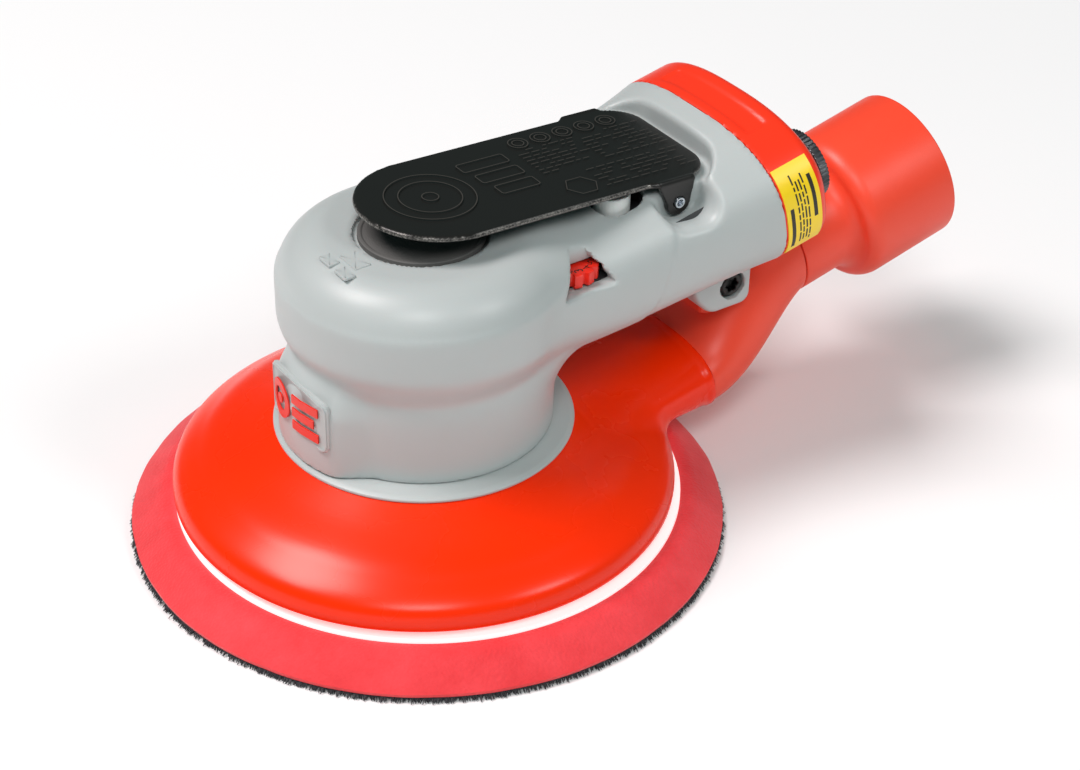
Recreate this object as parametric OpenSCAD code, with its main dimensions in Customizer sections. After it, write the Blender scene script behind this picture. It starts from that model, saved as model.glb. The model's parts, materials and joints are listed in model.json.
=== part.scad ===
// Air-driven random orbital sander with a 150 mm pad and a central-vacuum hose outlet.
// Origin on the motor axis in the plane of the hook face. +Z is up, +X points to the hose end.

/* [Pad] */
// Diameter of the foam pad at its widest
pad_d = 150; // [130:1:180]
// Diameter of the white backing plate
plate_d = 126.9; // [110:0.1:128]
// Thickness of the hook sheet
hook_t = 1.5; // [1:0.1:3]
// Thickness of the foam above the hook sheet
foam_t = 6.9; // [5:0.1:12]
// Thickness of the backing plate
plate_t = 2.5; // [2:0.1:4]
// Height of the backing plate's hub
hub_h = 2.8; // [2:0.1:6]
// Diameter of the circle that the pad's centre runs on
orbit_d = 2.4; // [2:0.1:4]
// Diameter of a dust hole through the pad
dust_hole_d = 9; // [6:0.5:12]
// Pitch circle of the six dust holes
dust_pcd = 80; // [60:1:100]
// Diameter of the pad's threaded stud
stud_d = 7.8; // [6:0.1:9]

/* [Motor] */
// Outside diameter of the motor's cylinder and endplates
cylinder_d = 44.8; // [42:0.1:50]
// Length of the cylinder and rotor
cylinder_l = 20; // [16:0.5:28]
// Diameter of the rotor
rotor_d = 31.2; // [28:0.1:32]
// Offset of the cylinder's bore from the shaft
bore_offset = 1.7; // [1:0.1:2]
// Diameter of the shaft through the rotor and the front bearing
shaft_d = 12; // [10:0.5:13]
// Diameter of the shaft in the rear bearing
tail_d = 8; // [6:0.5:9]
// Outside diameter of the front bearing
front_bearing_d = 28; // [26:0.5:32]
// Outside diameter of the rear bearing
rear_bearing_d = 22; // [20:0.5:24]
// Outside diameter of the two spindle bearings
spindle_bearing_d = 24; // [22:0.5:26]
// Diameter of the spindle in its bearings
spindle_d = 12; // [10:0.5:13]

/* [Body] */
// Diameter of the body at the waist
waist_d = 64.8; // [62:0.1:80]
// Diameter of the head at its bulge
head_d = 70; // [68:0.5:84]
// Radius that rounds the head's top edge
head_round = 12; // [8:0.5:14]
// Outside diameter of the shroud at its lower edge
shroud_d = 125.3; // [110:0.1:128]
// Wall of the shroud
shroud_wall = 2.2; // [1.5:0.1:3]
// Outside diameter of the grey ring above the shroud
flange_d = 74.4; // [72:0.1:84]

/* [Handle] */
// Distance from the motor axis to the joint of the end cap
handle_x = 84; // [80:1:110]
// Tilt of the handle, rising to the rear
handle_tilt = 12; // [8:0.5:14]
// Width of the handle at the end cap
handle_w = 67.2; // [62:0.1:80]
// Height of the handle at the end cap
handle_h = 39.6; // [37:0.1:46]
// Length of the end cap
cap_l = 14; // [12:0.5:20]
// Hole through the inlet's pipe thread
inlet_bore_d = 11.4; // [10:0.1:12]
// Diameter of the inlet bushing's barrel
inlet_d = 16; // [15:0.1:18]
// Diameter of the silencer
muffler_d = 18.8; // [14:0.1:20]

/* [Lever] */
// Width of the lever
lever_w = 39; // [32:0.5:44]
// Thickness of the lever's sheet steel
lever_t = 1.6; // [1.2:0.1:2]
// Diameter of the pivot pin
pin_d = 3; // [2.5:0.1:4]
// Distance from the pivot back to the lever's rear edge
lever_tail = 12; // [8:0.5:13]
// Distance from the pivot to the valve stem
stem_arm = 14.5; // [13:0.5:18]

/* [Speed dial] */
// Diameter of the dial over its scallops
dial_d = 14.4; // [12:0.1:15]
// Thickness of the dial
dial_t = 3.5; // [2.5:0.1:5]
// Diameter of the dial's barrel in the air passage
barrel_d = 9; // [7:0.1:9.5]

/* [Exhaust] */
// Bore of the hose cuff
hose_bore_d = 37; // [30:0.5:45]
// Wall of the hose cuff
cuff_wall = 2.3; // [1.8:0.1:3]
// Outside diameter of the tube and the cuff's neck at the swivel
neck_d = 29.2; // [27:0.1:36]
// Tilt of the outlet, rising to the rear
cuff_tilt = 13.1; // [8:0.1:16]
// Length of the whole cuff
cuff_l = 46.2; // [42:0.1:60]
// Half the width of the shroud's flattened stub
stub_w = 19.5; // [16:0.5:24]
// Half the height of the shroud's flattened stub
stub_h = 9.5; // [7:0.5:10]

/* [Hidden] */
$fn = 64;

// Clearances: running is radial on a turning fit, slip is around a loose part, gap parts two bodies.
running = 0.06;
slip = 0.1;
gap = 0.5;

// Colours as the object shows them.
orange = [0.96, 0.22, 0.12];
soft_red = [0.96, 0.30, 0.27];
light_grey = [0.79, 0.81, 0.81];
steel = [0.62, 0.63, 0.65];
black = [0.08, 0.08, 0.08];

// Heights of the pad and spindle, counted up from the hook face.
plate_proud = 0.8;
foam_top = hook_t + foam_t;
plate_top = foam_top + plate_proud;
plate_base = plate_top - plate_t;
hub_top = plate_top + hub_h;
hub_r = 16;
spindle_flange_t = 3;
balancer_base = hub_top + spindle_flange_t + gap;
retainer_t = 1.5;
spindle_bearing_h = 6;
spindle_bearing_z = balancer_base + retainer_t;
spindle_ring_z = spindle_bearing_z + 2 * spindle_bearing_h + 0.2;
spindle_top = spindle_ring_z + 1;
balancer_roof = spindle_top + 0.3;
balancer_top = balancer_roof + 1.5;
orbit_r = orbit_d / 2;
balancer_r = spindle_bearing_d / 2 + orbit_r + 3.3;

// Heights of the motor.
front_bearing_h = 8;
rear_bearing_h = 7;
front_z = balancer_top + gap;
front_plate_t = 4;
cylinder_z = front_z + front_bearing_h + front_plate_t;
rear_z = cylinder_z + cylinder_l;
rear_plate_t = 4;
rear_bearing_z = rear_z + 2.5;
tail_top = rear_bearing_z + rear_bearing_h + 1;
pocket_top = tail_top + 1;
motor_r = cylinder_d / 2;
motor_bore_r = motor_r + slip;
boss_r = rear_bearing_d / 2 + 3;
cylinder_bore_r = rotor_d / 2 + bore_offset + 0.1;

// Heights of the body.
head_top = pocket_top + 6;
core_top = head_top - 3;
recess_z = head_top - 1.5;
shroud_base = plate_top + 2.2;
collar_top = shroud_base + 18;
collar_t = 3.1;
body_base = collar_top + 1.6;
waist_z = head_top - 26;
neck_base = collar_top - 5.2;
neck_r = flange_d / 2 - 6.4;
core_r = motor_bore_r + 5;
lobe_r = waist_d / 2 - 0.9;
lobe_x = -5;
lobe_top = body_base + 23;

// Handle, in its own tilted frame whose origin is the middle of the cap joint.
handle_z = head_top - 8.7;
squareness = 2.54;
core_w = 25;
core_h = 14.5;
core_corner = 12;
core_back = handle_x - 14;
inlet_y = -13;
inlet_z = -3.6;
muffler_y = 12.5;
muffler_l = 36;
inlet_barrel_l = 30;
chamber_d = 13.2;
valve_x = -30;
seat_t = 4;
valve_r = 5.4;
valve_t = 2.4;
tip_r = 1.5;
hex_l = 6.4;
ring_l = 2.6;
ring_r = 9.4;
hex_r = 9.8;
thread_l = 13.2;
screen_r = inlet_bore_d / 2 - 0.7;

// Lever and valve stem.
pivot_x = handle_x - 24;
pivot_z = head_top - 1;
lever_slope = 2.3;
lever_rise = 6.55;
lever_nose = pivot_x + 15.8;
ear_t = 1.5;
ear_y = lever_w / 2 + ear_t;
stem_x = pivot_x - stem_arm;
stem_r = 1.9;
stem_top = pivot_z + lever_rise - lever_t + tan(lever_slope) * stem_arm - 0.15;
bushing_r = 4.6;
bushing_z = head_top - 5;
bushing_top = head_top + 2.6;
seal_h = 2;

// The air passage's height where the valve stem meets it.
stem_back = (stem_x - handle_x + inlet_z * sin(handle_tilt)) / cos(handle_tilt);
passage_z = handle_z + stem_back * sin(handle_tilt) + inlet_z * cos(handle_tilt);
passage_r = 3.5;
stem_foot = passage_z + tip_r / cos(handle_tilt) + 0.3;

// Speed dial, beside the motor bore.
dial_x = motor_bore_r + 6.5;
dial_y = -19;
dial_z = head_top - 12;
dial_scallops = 12;
barrel_z = passage_z - 8;

// Exhaust: the cuff's rim, and the swivel joint along its tilted axis.
rim_x = handle_x + 70.7;
rim_z = handle_z - 19.2;
cuff_r = hose_bore_d / 2 + cuff_wall;
neck_r_out = neck_d / 2;
spigot_r = neck_r_out - 2.05;
tube_wall = 2;
spigot_l = 11;
joint_s = cuff_l + gap;
joint_x = rim_x - joint_s * cos(cuff_tilt);
joint_z = rim_z - joint_s * sin(cuff_tilt);
stub_x = shroud_d / 2 + 14.35;
stub_z = shroud_base + 8.1;
stub_tilt = 8;

// Fork under the handle, and the tube's lug between its arms.
fork_x = handle_x - 1.5;
fork_z = handle_z - 25.5;
fork_in = 9;
fork_out = 17;
lug_r = 5;
screw_r = 2;
screw_head_r = 3.4;
screw_head_l = 3;
nut_r = 4;
nut_t = 3;

// Frames and shared shapes

module in_handle() {
    translate([handle_x, 0, handle_z]) rotate([0, -handle_tilt, 0]) children();
}

// A cylinder along the handle's own length, from x0 to x1.
module along(x0, x1, r, y, z) {
    in_handle() translate([x0, y, z]) rotate([0, 90, 0]) cylinder(h = x1 - x0, r = r);
}

function superellipse(w, h) = [for (i = [0:47]) let (c = cos(7.5 * i), s = sin(7.5 * i))
    [w * sign(c) * pow(abs(c), 2 / squareness), h * sign(s) * pow(abs(s), 2 / squareness)]];

// A slab with a superelliptic outline across the local X axis, starting at x and t thick.
module slab(x, w, h, t, z = 0) {
    translate([x, 0, z]) rotate([90, 0, 90]) linear_extrude(t) polygon(superellipse(w, h));
}

module ring(r_out, r_in, h) {
    difference() {
        cylinder(h = h, r = r_out);
        translate([0, 0, -1]) cylinder(h = h + 2, r = r_in);
    }
}

module bearing(r_out, r_in, h) {
    mid = (r_out + r_in) / 2;
    half = (r_out - r_in) * 0.22;
    rotate_extrude() polygon([[r_in, 0], [mid - half, 0], [mid - half, 0.4], [mid + half, 0.4],
        [mid + half, 0], [r_out, 0], [r_out, h], [mid + half, h], [mid + half, h - 0.4],
        [mid - half, h - 0.4], [mid - half, h], [r_in, h]]);
}

module rounded_rect(w, h, r) {
    square([2 * w, 2 * (h - r)], center = true);
    square([2 * (w - r), 2 * h], center = true);
    for (x = [-1, 1], y = [-1, 1]) translate([x * (w - r), y * (h - r)]) circle(r);
}

// Body: the outside that the hand holds, the core inside it and what is cut from both

module head_shape() {
    rotate_extrude($fn = 96) polygon(concat(
        [[0, body_base], [lobe_r, body_base], [waist_d / 2, body_base + 5], [waist_d / 2, waist_z]],
        [for (a = [0:15:90]) [head_d / 2 - head_round * (1 - cos(a)),
            head_top - head_round * (1 - sin(a))]],
        [[0, head_top]]));
}

module lobe_shape() {
    round = 9;
    translate([lobe_x, 0, 0]) rotate_extrude($fn = 96) polygon(concat(
        [[0, body_base], [lobe_r, body_base]],
        [for (a = [0:15:90]) [lobe_r - round * (1 - cos(a)), lobe_top - round * (1 - sin(a))]],
        [[0, lobe_top]]));
}

module handle_shape() {
    w = handle_w / 2;
    h = handle_h / 2;
    in_handle() hull() {
        slab(-1, w, h, 1);
        slab(-28, w - 3.8, h - 1.5, 1);
        slab(-handle_x + 29, w - 6.1, h - 2.3, 1, 1.2);
        slab(-handle_x + 6, w - 11.6, h - 2.8, 1, 3);
    }
}

module fork_shape() {
    for (side = [-1, 1])
        translate([fork_x - 8.5, side > 0 ? fork_in : -fork_out, fork_z - 6.6])
            cube([14.5, fork_out - fork_in, 14]);
}

module body_shape() {
    head_shape();
    lobe_shape();
    handle_shape();
    fork_shape();
}

module core_shape() {
    translate([0, 0, neck_base]) cylinder(h = body_base - neck_base, r = neck_r);
    translate([0, 0, neck_base]) cylinder(h = core_top - neck_base, r = core_r);
    in_handle() translate([-core_back, 0, 0]) rotate([90, 0, 90]) linear_extrude(core_back)
        rounded_rect(core_w, core_h, core_corner);
}

module lever_bay() {
    bay_z = pivot_z + 3.2;
    translate([pivot_x - 70, -ear_y - 1, bay_z]) cube([70 + lever_tail + 2, 2 * ear_y + 2, 20]);
    for (side = [-1, 1])
        translate([pivot_x - 8, side > 0 ? lever_w / 2 - 0.3 : -ear_y - 2, pivot_z - 5])
            cube([16, ear_t + 2.3, 20]);
    translate([pivot_x, 0, pivot_z]) rotate([90, 0, 0]) cylinder(h = 2 * ear_y + 2, r = pin_d / 2,
        center = true);
}

module stem_bores() {
    translate([stem_x, inlet_y, passage_z]) cylinder(h = 40, r = stem_r + 0.4);
    translate([stem_x, inlet_y, bushing_z - seal_h - 0.3]) cylinder(h = seal_h + 1, r = bushing_r - 0.6);
    translate([stem_x, inlet_y, bushing_z]) cylinder(h = 20, r = bushing_r);
    translate([stem_x, inlet_y, head_top - 2.5]) cylinder(h = 20, r = bushing_r + 1);
    translate([stem_x + 2, inlet_y, head_top - 2.5]) cylinder(h = 20, r = bushing_r + 1);
}

module dial_bores() {
    translate([dial_x, dial_y, barrel_z - 0.2]) cylinder(h = dial_z - barrel_z, r = barrel_d / 2 + running);
    translate([dial_x, dial_y, dial_z - gap]) cylinder(h = dial_t + 2 * gap, r = dial_d / 2 + 0.8);
    translate([dial_x, dial_y - 2.5, dial_z - gap]) rotate([90, 0, 0])
        linear_extrude(30) polygon([[-8, 0], [8, 0], [1, 10], [-1, 10]]);
}

module air_passages() {
    along(-inlet_barrel_l + 14, 1, inlet_d / 2, inlet_y, inlet_z);
    along(valve_x - seat_t, -inlet_barrel_l + 15, chamber_d / 2, inlet_y, inlet_z);
    along(stem_back - 4, valve_x, 5, inlet_y, inlet_z);
    along(-handle_x + 18, stem_back, passage_r, inlet_y - 1, inlet_z);
    along(-handle_x + 18, -muffler_l, 5, muffler_y, 0);
    along(-muffler_l, 1, muffler_d / 2 + slip, muffler_y, 0);
}

module motor_bores() {
    translate([0, 0, neck_base - 1]) cylinder(h = front_z - neck_base + 1, r = motor_bore_r + 0.5);
    translate([0, 0, neck_base]) cylinder(h = rear_z + rear_plate_t - neck_base, r = motor_bore_r);
    translate([0, 0, neck_base]) cylinder(h = pocket_top - neck_base, r = boss_r + slip);
}

module fork_bores() {
    translate([fork_x, 0, fork_z]) rotate([90, 0, 0]) {
        cylinder(h = 60, r = screw_r + slip, center = true);
        translate([0, 0, fork_out - screw_head_l]) cylinder(h = 20, r = screw_head_r + 0.4);
        translate([0, 0, -fork_out - 10]) cylinder(h = 10 + nut_t, r = nut_r, $fn = 6);
    }
}

module body_voids() {
    lever_bay();
    stem_bores();
    dial_bores();
    air_passages();
    motor_bores();
    fork_bores();
    translate([0, 0, recess_z]) cylinder(h = 10, r = 16.5);
}

module housing() {
    color([0.25, 0.26, 0.27]) difference() {
        core_shape();
        body_voids();
        translate([0, 0, neck_base + 0.6]) ring(neck_r + 1, neck_r - 1.5, 1.5);
    }
}

module grip() {
    color(light_grey) difference() {
        body_shape();
        core_shape();
        body_voids();
    }
}

module front_badge() {
    color(light_grey) intersection() {
        translate([lobe_x, 0, body_base + 6]) ring(lobe_r + 0.7, lobe_r, 16);
        translate([0, 0, body_base + 13.6]) rotate([90, 0, -90])
            linear_extrude(60) rounded_rect(10.5, 7, 2.5);
    }
}

module head_disc() {
    color([0.22, 0.22, 0.23]) translate([0, 0, recess_z]) cylinder(h = 1.4, r = 12.8);
}

// Shroud and what holds it on the neck

module flange_ring() {
    color(light_grey) translate([0, 0, collar_top]) rotate_extrude($fn = 96)
        polygon([[neck_r, 0], [flange_d / 2, 0], [flange_d / 2, 0.7], [flange_d / 2 - 1, 1.2],
            [lobe_r - 0.5, body_base - collar_top], [neck_r, body_base - collar_top]]);
}

module shroud_ring() {
    color(steel) translate([0, 0, neck_base + 0.6]) ring(neck_r + 1.6, neck_r - 1.5, 1.4);
}

// The bowl's section, moved inwards by t.
function bowl(t) = let (r = shroud_d / 2 - t, rise = collar_top - shroud_base - t, mid = flange_d / 2)
    concat([[r, 0], [r + 0.2, rise * 0.12]],
        [for (a = [15:15:75]) [mid + (r - mid) * pow(cos(a), 0.6), rise * (0.28 + 0.5 * sin(a))]],
        [[mid + 4, rise * 0.93], [mid, rise]]);

module stub_shape(t, over) {
    hull() {
        translate([stub_x - 40, 0, stub_z + 0.5]) slab(0, stub_w + 6 - t, stub_h - 2.5 - t, 1);
        translate([stub_x, 0, stub_z]) rotate([0, -stub_tilt, 0]) slab(over - 1, stub_w - t, stub_h - t, 1);
    }
}

module shroud() {
    color(orange) difference() {
        union() {
            translate([0, 0, shroud_base]) rotate_extrude($fn = 96)
                polygon(concat([[0, 0]], bowl(0), [[0, collar_top - shroud_base]]));
            stub_shape(0, 0);
        }
        translate([0, 0, shroud_base]) rotate_extrude($fn = 96)
            polygon(concat([[0, -1], [shroud_d / 2 - shroud_wall, -1]], bowl(shroud_wall),
                [[neck_r + 2.2, collar_top - shroud_base - collar_t],
                [0, collar_top - shroud_base - collar_t]]));
        stub_shape(shroud_wall, 2);
        cylinder(h = 60, r = neck_r + slip);
    }
}

// Exhaust tube, from the flattened stub up to the swivel

// Centre line of the tube from the stub (q = 0) to the swivel (q = 1), as [x, z], and its direction.
bend = 14;
tube_ctrl = [[stub_x, stub_z], [stub_x + bend * cos(stub_tilt), stub_z + bend * sin(stub_tilt)],
    [joint_x - bend * cos(cuff_tilt), joint_z - bend * sin(cuff_tilt)], [joint_x, joint_z]];
function tube_point(q) = pow(1 - q, 3) * tube_ctrl[0] + 3 * q * pow(1 - q, 2) * tube_ctrl[1]
    + 3 * q * q * (1 - q) * tube_ctrl[2] + pow(q, 3) * tube_ctrl[3];
function tube_slope(q) = let (d = tube_point(min(q + 0.01, 1)) - tube_point(max(q - 0.01, 0)))
    atan2(d[1], d[0]);

// Section of the tube at q, t inside its outer skin: the stub's flat oval turns into a circle.
function tube_ring(q, t) = let (w = stub_w + (neck_r_out - stub_w) * q - t,
    h = stub_h + (neck_r_out - stub_h) * (1 - pow(1 - q, 1.6)) - t,
    p = 2 / (squareness + (2 - squareness) * q), o = tube_point(q), a = tube_slope(q))
    [for (i = [0:35]) let (c = cos(10 * i), s = sin(10 * i), z = h * sign(s) * pow(abs(s), p))
        [o[0] - z * sin(a), w * sign(c) * pow(abs(c), p), o[1] + z * cos(a)]];

// A closed skin through a row of rings that all have the same number of points.
module loft(rings) {
    n = len(rings[0]);
    m = len(rings);
    polyhedron([for (ring = rings) each ring], concat(
        [for (k = [0:m - 2], i = [0:n - 1]) [k * n + i, (k + 1) * n + i, (k + 1) * n + (i + 1) % n,
            k * n + (i + 1) % n]],
        [[for (i = [0:n - 1]) i]], [[for (i = [n - 1:-1:0]) (m - 1) * n + i]]));
}

function shifted(ring, a, d) = [for (v = ring) v + d * [cos(a), 0, sin(a)]];

module along_cuff() {
    translate([rim_x, 0, rim_z]) rotate([0, 90 - cuff_tilt, 0]) children();
}

module lug() {
    width = 2 * fork_in - 0.4;
    translate([fork_x, 0, fork_z]) rotate([90, 0, 0]) cylinder(h = width, r = lug_r, center = true);
    translate([fork_x - lug_r, -width / 2, fork_z - 20]) cube([2 * lug_r, width, 20]);
}

module exhaust_tube() {
    color(orange) difference() {
        union() {
            difference() {
                union() {
                    loft([for (q = [0:0.125:1]) tube_ring(q, 0)]);
                    lug();
                }
                loft(concat([shifted(tube_ring(0, tube_wall), stub_tilt, -1)],
                    [for (q = [0:0.125:0.875]) tube_ring(q, tube_wall)]));
            }
            along_cuff() translate([0, 0, -joint_s]) cylinder(h = spigot_l, r = spigot_r);
        }
        along_cuff() translate([0, 0, -joint_s - 6]) cylinder(h = 30, r = spigot_r - tube_wall);
        along_cuff() translate([0, 0, -joint_s + 6]) ring(spigot_r + 1, spigot_r - 0.9, 2);
        translate([fork_x, 0, fork_z]) rotate([90, 0, 0]) cylinder(h = 60, r = screw_r + slip, center = true);
    }
}

module cuff_ring() {
    color(black) along_cuff() translate([0, 0, -joint_s + 6]) ring(spigot_r, spigot_r - 0.9, 2);
}

module hose_cuff() {
    shoulder = cuff_r - neck_r_out;
    bore = hose_bore_d / 2;
    color(orange) along_cuff() rotate_extrude($fn = 96) polygon(concat(
        [[bore, 0], [cuff_r, 0]],
        [for (a = [0:22.5:90]) [cuff_r - 0.5 * shoulder * (1 - cos(a)), -24 - 4.5 * sin(a)]],
        [for (a = [67.5:-22.5:0]) [neck_r_out + 0.5 * shoulder * (1 - cos(a)), -33.5 + 4.5 * sin(a)]],
        [[neck_r_out, -cuff_l], [spigot_r + running, -cuff_l], [spigot_r + running, -33],
        [bore, -22]]));
}

module tube_screw() {
    color([0.16, 0.16, 0.17]) translate([fork_x, 0, fork_z]) rotate([90, 0, 0]) difference() {
        union() {
            translate([0, 0, -fork_out + 0.3]) cylinder(h = 2 * fork_out - screw_head_l - 0.3, r = screw_r);
            translate([0, 0, fork_out - screw_head_l]) cylinder(h = screw_head_l - 0.4, r = screw_head_r);
        }
        translate([0, 0, fork_out - 2]) cylinder(h = 3, r = 1.8, $fn = 6);
    }
}

module tube_nut() {
    color(steel) translate([fork_x, 0, fork_z]) rotate([90, 0, 0]) translate([0, 0, -fork_out]) difference() {
        cylinder(h = nut_t, r = nut_r, $fn = 6);
        translate([0, 0, -1]) cylinder(h = nut_t + 2, r = screw_r);
    }
}

// End cap, air inlet and silencer

module end_cap() {
    w = handle_w / 2;
    h = handle_h / 2;
    color(orange) difference() {
        in_handle() union() {
            slab(0, w, h, cap_l - 3);
            hull() {
                slab(cap_l - 3.2, w, h, 0.2);
                slab(cap_l - 1.2, w - 1.3, h - 1.3, 0.2);
                slab(cap_l - 0.1, w - 3.4, h - 3.4, 0.1);
            }
        }
        in_handle() difference() {
            slab(-1, w - 2.6, h - 2.6, cap_l - 1.6);
            translate([-2, inlet_y, inlet_z]) rotate([0, 90, 0])
                cylinder(h = cap_l + 4, r = inlet_d / 2 + 2.4);
        }
        along(-1, cap_l + 1, inlet_d / 2 + slip, inlet_y, inlet_z);
        in_handle() for (i = [-2:2]) translate([cap_l - 6, muffler_y + 3.6 * i - 0.9, -6])
            cube([10, 1.8, 12]);
        in_handle() translate([2.5, -18, h - 0.7]) cube([6.5, 36, 3]);
    }
}

module cap_label() {
    w = handle_w / 2;
    h = handle_h / 2;
    color([1, 0.86, 0.12]) in_handle() difference() {
        intersection() {
            slab(0.7, w + 0.25, h + 0.25, cap_l - 3.9);
            translate([0, -w - 5, -13]) cube([cap_l, 20, 23]);
        }
        slab(-1, w, h, cap_l + 2);
    }
}

module inlet_bushing() {
    end = cap_l + hex_l + ring_l;
    color([0.5, 0.5, 0.51]) in_handle() translate([0, inlet_y, inlet_z]) rotate([0, 90, 0]) difference() {
        union() {
            translate([0, 0, 14 - inlet_barrel_l]) cylinder(h = end - 14 + inlet_barrel_l, r = inlet_d / 2);
            translate([0, 0, cap_l]) cylinder(h = hex_l, r = hex_r, $fn = 6);
        }
        translate([0, 0, end - thread_l]) cylinder(h = 15, r = inlet_bore_d / 2);
        translate([0, 0, end - thread_l - 1.3]) cylinder(h = 1.31, r1 = screen_r, r2 = inlet_bore_d / 2);
        translate([0, 0, end - thread_l - 2.1]) cylinder(h = 0.9, r = screen_r);
        translate([0, 0, -30]) cylinder(h = 50, r = 4);
        translate([0, 0, -10]) ring(inlet_d / 2 + 1, inlet_d / 2 - 1.1, 2);
    }
}

module inlet_seal() {
    color(black) in_handle() translate([-10, inlet_y, inlet_z]) rotate([0, 90, 0])
        ring(inlet_d / 2, inlet_d / 2 - 1.1, 2);
}

module inlet_ring() {
    knurls = 30;
    color([0.2, 0.2, 0.21]) in_handle() translate([cap_l + hex_l, inlet_y, inlet_z]) rotate([0, 90, 0])
        difference() {
            ring(ring_r, inlet_d / 2, ring_l);
            for (i = [0:knurls - 1]) rotate([0, 0, i * 360 / knurls]) translate([ring_r + 0.2, 0, 0])
                rotate([0, 0, 45]) cube([0.7, 0.7, 3 * ring_l], center = true);
        }
}

module inlet_screen() {
    color(steel) in_handle() translate([cap_l + hex_l + ring_l - thread_l - 2.1, inlet_y, inlet_z])
        rotate([0, 90, 0]) difference() {
            cylinder(h = 0.8, r = screen_r);
            for (x = [-3:1.5:3], y = [-3:1.5:3]) translate([x - 0.5, y - 0.5, -1]) cube([1, 1, 3]);
        }
}

module muffler() {
    color([0.75, 0.74, 0.7]) in_handle() translate([-muffler_l + 1, muffler_y, 0]) rotate([0, 90, 0])
        difference() {
            cylinder(h = muffler_l + 2, r = muffler_d / 2);
            translate([0, 0, -1]) cylinder(h = muffler_l, r = muffler_d / 2 - 3);
        }
}

// Throttle: lever, stem, tilting valve and its spring

module lever_pin() {
    color(steel) translate([pivot_x, 0, pivot_z]) rotate([90, 0, 0]) difference() {
        cylinder(h = 2 * ear_y + 1, r = pin_d / 2, center = true);
        cylinder(h = 3 * ear_y, r = pin_d / 2 - 0.6, center = true);
    }
}

module throttle_lever() {
    half = lever_w / 2;
    corner = 9;
    color(black) difference() {
        union() {
            translate([pivot_x, 0, pivot_z + lever_rise - lever_t]) rotate([0, lever_slope, 0])
                linear_extrude(lever_t) {
                    translate([half - lever_nose, 0]) circle(half, $fn = 96);
                    translate([half - lever_nose, -half])
                        square([lever_nose - half + lever_tail - corner, lever_w]);
                    for (side = [-1, 1]) translate([lever_tail - corner, side * (half - corner)])
                        circle(corner);
                    translate([0, corner - half]) square([lever_tail, 2 * (half - corner)]);
                    translate([-7, -ear_y]) square([12, 2 * ear_y]);
                }
            for (side = [-1, 1]) translate([pivot_x, side > 0 ? ear_y : -ear_y + ear_t, pivot_z])
                rotate([90, 0, 0]) linear_extrude(ear_t) {
                    circle(3.6);
                    polygon([[-3.6, 0], [3.6, 0], [5, lever_rise - 1], [-7, lever_rise - 0.6]]);
                }
        }
        translate([pivot_x, 0, pivot_z]) rotate([90, 0, 0])
            cylinder(h = 3 * ear_y, r = pin_d / 2 + running, center = true);
    }
}

module valve_stem() {
    color(steel) translate([stem_x, inlet_y, 0]) {
        translate([0, 0, stem_foot]) cylinder(h = 1.6, r1 = 0.5, r2 = stem_r);
        translate([0, 0, stem_foot + 1.6]) cylinder(h = stem_top - stem_foot - 2.2, r = stem_r);
        translate([0, 0, stem_top - 0.6]) cylinder(h = 0.6, r1 = stem_r, r2 = stem_r - 0.6);
    }
}

module stem_bushing() {
    color(light_grey) translate([stem_x, inlet_y, bushing_z])
        ring(bushing_r, stem_r + running, bushing_top - bushing_z);
}

module stem_seal() {
    color(black) translate([stem_x, inlet_y, bushing_z - seal_h])
        ring(bushing_r - 0.6, stem_r + running, seal_h);
}

module valve_seat() {
    color([0.85, 0.7, 0.35]) in_handle() translate([valve_x - seat_t, inlet_y, inlet_z]) rotate([0, 90, 0])
        ring(chamber_d / 2, passage_r, seat_t);
}

module throttle_valve() {
    color(black) in_handle() translate([valve_x, inlet_y, inlet_z]) rotate([0, 90, 0]) {
        translate([0, 0, 0.05]) cylinder(h = valve_t, r = valve_r);
        translate([0, 0, stem_back - valve_x - 2.4]) cylinder(h = valve_x - stem_back + 2.5, r = tip_r);
        translate([0, 0, valve_t]) cylinder(h = 2, r = 2.2);
    }
}

// A compression spring: rings of points swept along a helix that starts at z = 0.
module coil(r, wire, length, turns) {
    sides = 6;
    steps = turns * 12;
    points = [for (i = [0:steps], j = [0:sides - 1]) let (a = 360 * turns * i / steps, b = 360 * j / sides,
        q = r + wire * cos(b), z = wire + (length - 2 * wire) * i / steps + wire * sin(b))
        [q * cos(a), q * sin(a), z]];
    walls = [for (i = [0:steps - 1], j = [0:sides - 1]) [i * sides + j, i * sides + (j + 1) % sides,
        (i + 1) * sides + (j + 1) % sides, (i + 1) * sides + j]];
    polyhedron(points, concat(walls, [[for (j = [sides - 1:-1:0]) j]],
        [[for (j = [0:sides - 1]) steps * sides + j]]));
}

module valve_spring() {
    rest = 0.15;
    color(steel) in_handle() translate([valve_x + valve_t + rest, inlet_y, inlet_z]) rotate([0, 90, 0])
        coil(3.4, 0.45, 14 - inlet_barrel_l - valve_x - valve_t - 2 * rest, 5);
}

// Speed dial

module speed_dial() {
    color(orange) translate([dial_x, dial_y, 0]) difference() {
        union() {
            translate([0, 0, dial_z]) difference() {
                cylinder(h = dial_t, r = dial_d / 2);
                for (i = [0:dial_scallops - 1]) rotate([0, 0, (i + 0.5) * 360 / dial_scallops])
                    translate([dial_d / 2 + 0.3, 0, -1]) cylinder(h = dial_t - 0.2, r = 1.2, $fn = 16);
            }
            translate([0, 0, barrel_z]) cylinder(h = dial_z - barrel_z + 0.1, r = barrel_d / 2);
        }
        translate([0, 0, passage_z - 3.4]) rotate([0, 90, 0]) cylinder(h = 20, r = 2.6, center = true);
        translate([0, 0, dial_z - 4]) ring(barrel_d / 2 + 1, barrel_d / 2 - 0.9, 1.8);
    }
}

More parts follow.
